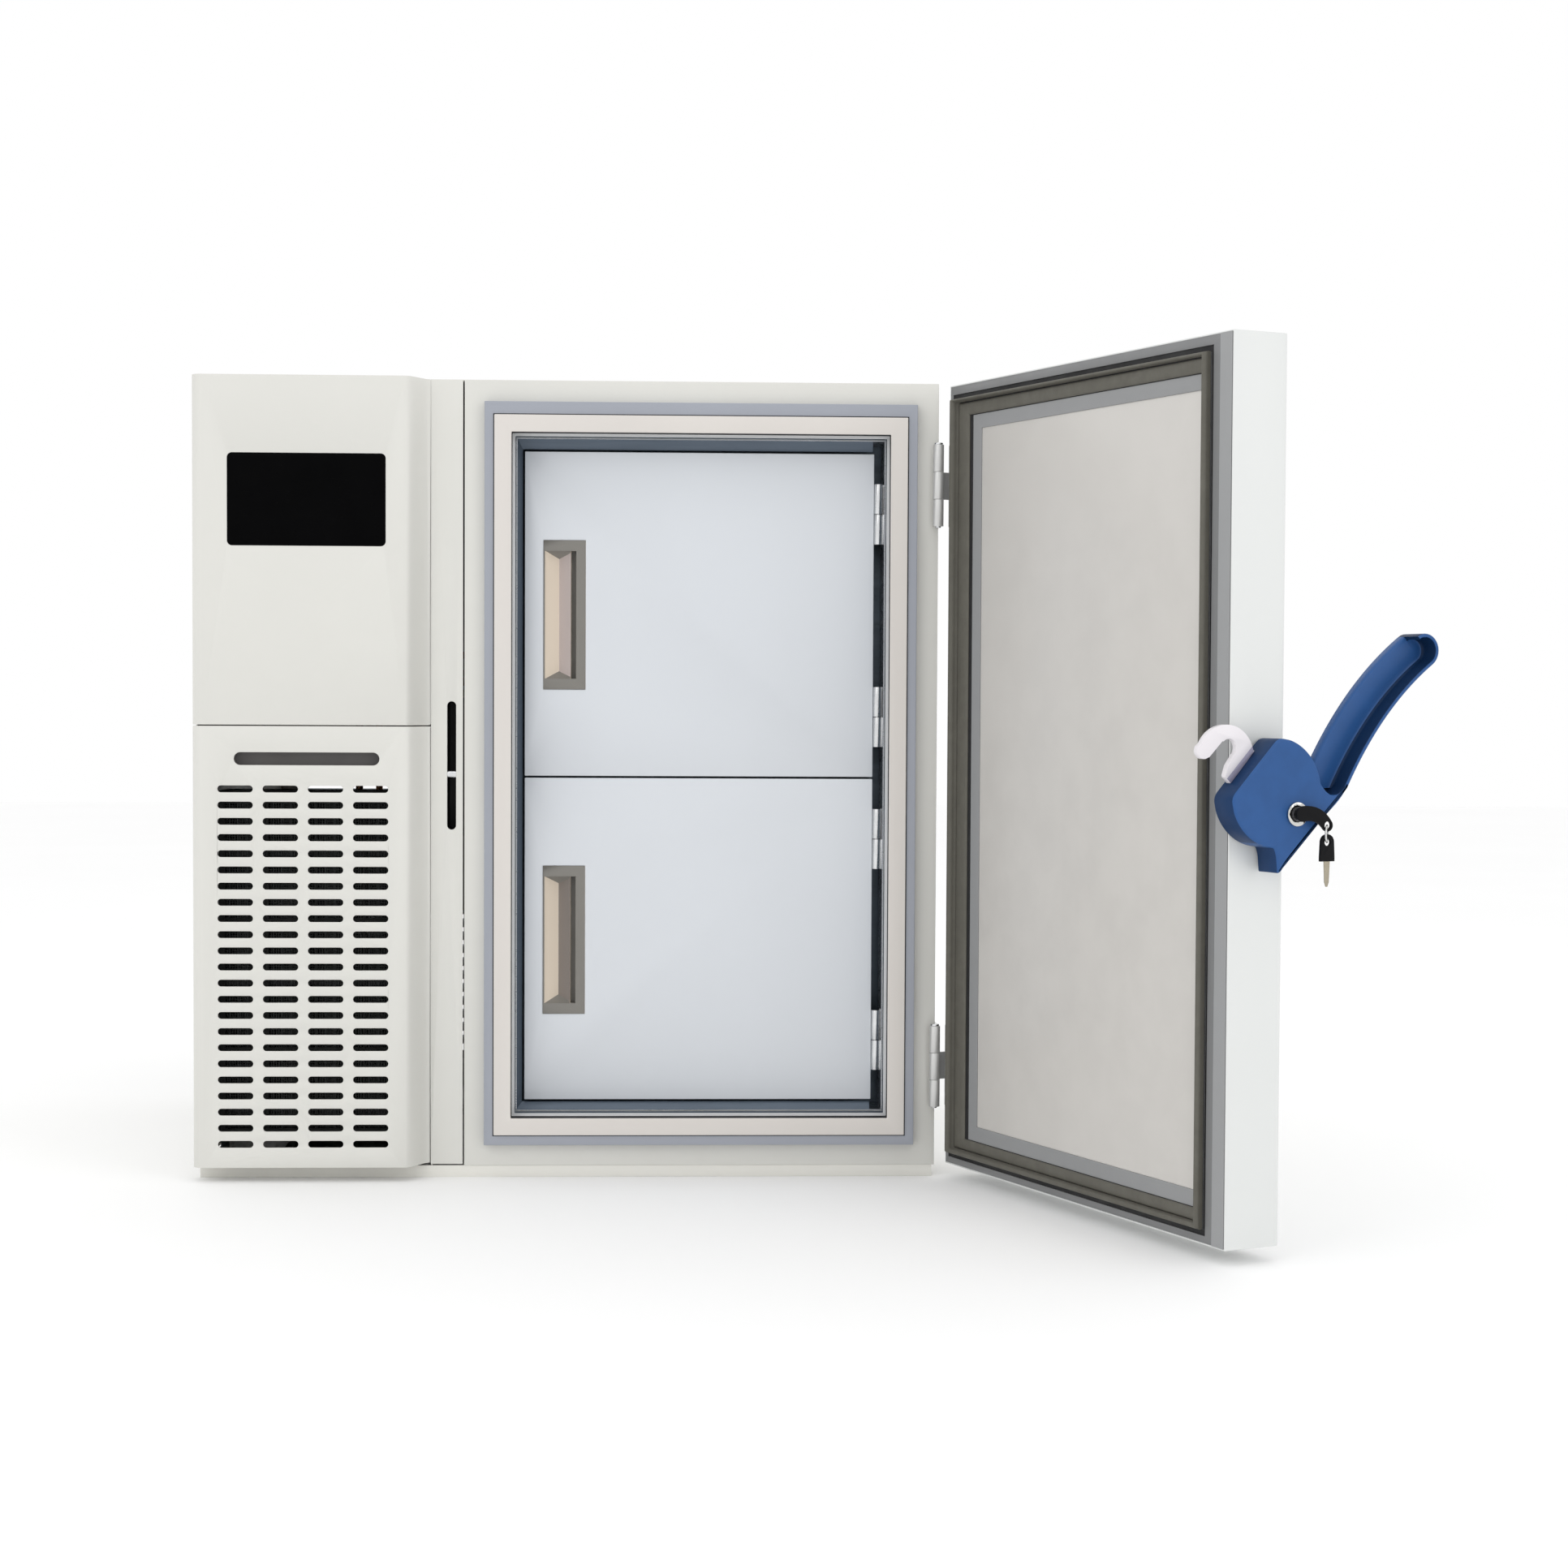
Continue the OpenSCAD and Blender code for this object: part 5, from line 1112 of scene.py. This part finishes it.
class FREEZER_OT_latch(Operator):
    """Blue lever, white hook and base of the latch"""

    bl_idname = "freezer.latch"
    bl_label = "Latch"

    def execute(self, context):
        m, s = MATERIALS, context.scene.freezer_sizes
        low, high = out_from_edge("latch_handle")
        edge = s.handle_edge / MM
        parts = [slab(housing_outline(), low, high, edge), lever(low, high), lever_end(low, high)]
        forth = edge_matrix()
        back = forth.inverted()
        mesh = joined(parts, "latch_lever", forth, 50)
        link(mesh, "latch_lever", [m["handle"], m["trough_shade"], m["handle_side_shade"]], "latch_handle",
             ("latch_handle",))
        turn = back.to_3x3().normalized()
        for face in mesh.polygons:
            place, facing = back @ face.center, turn @ face.normal
            # The wall's hollow inner side and the housing's side band take the darker blues, which are painted
            # shade
            in_wall = low + LEVER_WEB + 0.3 < place.z < high - 1
            in_shaded_trough = place.x > TAIL_X and in_wall and facing.x < -0.15
            on_shaded_side = place.x < TAIL_X and facing.z < 0.3 and facing.x - facing.y < 0.5
            face.material_index = 1 if in_shaded_trough else 2 if on_shaded_side else 0
        flat = math.radians(HOUSING_TURN)
        flat_out = Vector((math.cos(flat), math.sin(flat), 0))
        top = out_from_edge("latch_hook")[1]

        def chamfered(work):
            """A sloping strip along the hook's side that meets the housing."""
            for reach in (HOUSING_FLAT - 0.2, HOUSING_FLAT + CHAMFER_WIDE):
                bmesh.ops.bisect_plane(
                    work, geom=work.verts[:] + work.edges[:] + work.faces[:],
                    plane_co=forth @ (flat_out * reach), plane_no=(forth.to_3x3() @ flat_out).normalized())
            for vert in work.verts:
                place = back @ vert.co
                if place.z > top - 0.1 and place.dot(flat_out) < HOUSING_FLAT + 0.3:
                    place.z -= CHAMFER_DEEP
                    vert.co = forth @ place

        # The chamfer's faces take the lilac grey, which is painted shade beside the housing
        def on_shaded_chamfer(centre, normal):
            facing = turn @ normal
            near = (back @ centre).dot(flat_out) < HOUSING_FLAT + CHAMFER_WIDE
            return 1 if near and 0.5 < facing.z < 0.97 else 0

        soften("latch_hook", [m["hook"], m["hook_chamfer_shade"]], s.mould * 0.4, 2, 15, pick=on_shaded_chamfer,
               reshape=chamfered)
        soften("latch_base", [m["door"]], s.mould * 0.5)
        return {"FINISHED"}


class FREEZER_OT_lock(Operator):
    """Chrome lock, the key in it and the spare key on its ring"""

    bl_idname = "freezer.lock"
    bl_label = "Lock and keys"

    def execute(self, context):
        m, s = MATERIALS, context.scene.freezer_sizes
        soften("lock_barrel", [m["chrome"]], s.mould)
        soften("lock_plug", [m["plug"]], s.mould * 0.5)
        back = edge_matrix().inverted()
        head = out_from_edge("key")[1] - KEY_HEAD

        def key_part(centre, normal):
            """0 for the moulded head, 1 for the blade."""
            return 1 if (back @ centre).z < head else 0

        soften("key", [m["black"], m["brass"]], s.mould, 3, pick=key_part)
        first, last = out_from_edge("spare_key")
        plane = (first + last) / 2

        def spare_part(centre, normal):
            """0 for the moulded bow, 1 for the blade, 2 for the split ring."""
            place = back @ centre
            across, up, out = place.x - HEAD_HOLE.x, place.y - HEAD_HOLE.y + RING_RADIUS, place.z - plane
            along = across * math.cos(RING_SLANT) - out * math.sin(RING_SLANT)
            aside = across * math.sin(RING_SLANT) + out * math.cos(RING_SLANT)
            if math.hypot(math.hypot(along, up) - RING_RADIUS, aside) < RING_WIRE:
                return 2
            return 1 if up + RING_RADIUS < BOW_LOW else 0

        soften("spare_key", [m["black"], m["brass"], m["chrome"]], s.mould * 0.5, 2, 50, pick=spare_part)
        return {"FINISHED"}


class FREEZER_OT_inner_doors(Operator):
    """Inner doors and their moulded pulls"""

    bl_idname = "freezer.inner_doors"
    bl_label = "Inner doors"

    def execute(self, context):
        m, s = MATERIALS, context.scene.freezer_sizes
        for level in ("upper", "lower"):
            soften(level + "_inner_door", [m["inner"]], s.mould * 1.4, 3)
            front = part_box(level + "_pull_tray")[0].y

            def slope(centre, normal, front=front):
                """0 for the pull's rim and floor, 1 for the slope in the light, in painted light, 2 for the far
                one, in painted shade.
                """
                if centre.y < front + 0.4 * MM:
                    return 0
                if normal.x > 0.15:
                    return 1
                return 2 if normal.x < -0.15 and normal.y < -0.1 else 0

            # The lower pull's far slope takes a darker copy, which is deeper painted shade
            far = m["tray_shade"] if level == "upper" else m["tray_dark"]
            soften(level + "_pull_tray", [m["tray"], m["tray_light"], far], s.mould * 0.6, pick=slope)
        return {"FINISHED"}


# Screws of the outer hinges' leaves in millimetres: heights, radius, and places in from the leaves' edges
LEAF_SCREWS = (86, 145, 681, 740)
LEAF_SCREW_RADIUS = 3.2
CABINET_LEAF_IN = 12
DOOR_LEAF_IN = 14

# Screws of the rear panel: spaces between them, radius and place in from the edges in millimetres
REAR_SPACES = 6
REAR_SCREW_RADIUS = 3.0
REAR_SCREW_IN = 9


class FREEZER_OT_hinges(Operator):
    """Hinges of the outer and inner doors, with their screws"""

    bl_idname = "freezer.hinges"
    bl_label = "Hinges"

    def execute(self, context):
        m, s = MATERIALS, context.scene.freezer_sizes
        for node in ("cabinet_hinge_leaves", "door_hinge_leaves"):
            soften(node, [m["leaf"]], s.mould * 0.5)
        for node in ("inner_hinge_frames", "upper_hinge_leaves", "lower_hinge_leaves", "door_hinge_pins"):
            soften(node, [m["bright"]], s.mould * 0.5)
        low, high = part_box("cabinet_hinge_leaves")
        radius = LEAF_SCREW_RADIUS * MM
        y = high.y - CABINET_LEAF_IN * MM
        places = [(Vector((high.x, y, z * MM)), (1, 0, 0)) for z in LEAF_SCREWS]
        screws("cabinet_leaf_screws", places, radius, "cabinet_hinge_leaves")
        low, high = closed_box("door_hinge_leaves")
        turn = door_matrix()
        aim = tuple(turn.to_3x3() @ Vector((1, 0, 0)))
        y = low.y + DOOR_LEAF_IN * MM
        places = [(turn @ Vector((high.x, y, z * MM)), aim) for z in LEAF_SCREWS]
        screws("door_leaf_screws", places, radius, "door_hinge_leaves")
        low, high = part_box("rear_panel")
        inset = REAR_SCREW_IN * MM
        rise = (high.z - low.z - 2 * inset) / REAR_SPACES
        places = [(Vector((x, high.y, low.z + inset + rise * i)), (0, 1, 0))
                  for i in range(REAR_SPACES + 1) for x in (low.x + inset, high.x - inset)]
        screws("rear_screws", places, REAR_SCREW_RADIUS * MM, "rear_panel")
        return {"FINISHED"}


OPERATORS = (FREEZER_OT_studio, FREEZER_OT_cabinet, FREEZER_OT_opening, FREEZER_OT_bay_front,
             FREEZER_OT_machinery, FREEZER_OT_outer_door, FREEZER_OT_latch, FREEZER_OT_lock,
             FREEZER_OT_inner_doors, FREEZER_OT_hinges)
GROUPS = (FreezerColours, FreezerSizes, FreezerStudio)


class FREEZER_PT_panel(Panel):
    """Sizes, colours and the steps that build the freezer's dressing"""

    bl_label = "Freezer"
    bl_idname = "FREEZER_PT_panel"
    bl_space_type = "VIEW_3D"
    bl_region_type = "UI"
    bl_category = "Freezer"

    def draw(self, context):
        for group in ("freezer_colours", "freezer_sizes", "freezer_studio"):
            settings = getattr(context.scene, group)
            box = self.layout.box()
            for name in settings.bl_rna.properties.keys():
                if name not in ("rna_type", "name"):
                    box.prop(settings, name)
        for operator in OPERATORS:
            self.layout.operator(operator.bl_idname)


def register():
    for cls in (*GROUPS, *OPERATORS, FREEZER_PT_panel):
        bpy.utils.register_class(cls)
    bpy.types.Scene.freezer_colours = PointerProperty(type=FreezerColours)
    bpy.types.Scene.freezer_sizes = PointerProperty(type=FreezerSizes)
    bpy.types.Scene.freezer_studio = PointerProperty(type=FreezerStudio)


def unregister():
    for name in ("freezer_colours", "freezer_sizes", "freezer_studio"):
        delattr(bpy.types.Scene, name)
    for cls in (FREEZER_PT_panel, *reversed(OPERATORS), *reversed(GROUPS)):
        bpy.utils.unregister_class(cls)


def main():
    register()
    make_finishes(bpy.context.scene.freezer_colours)
    for operator in OPERATORS:
        step = getattr(bpy.ops.freezer, operator.bl_idname.split(".")[1])
        if step() != {"FINISHED"}:
            raise RuntimeError(operator.bl_idname + " did not finish")
    bpy.context.view_layer.update()


if __name__ == "__main__":
    main()
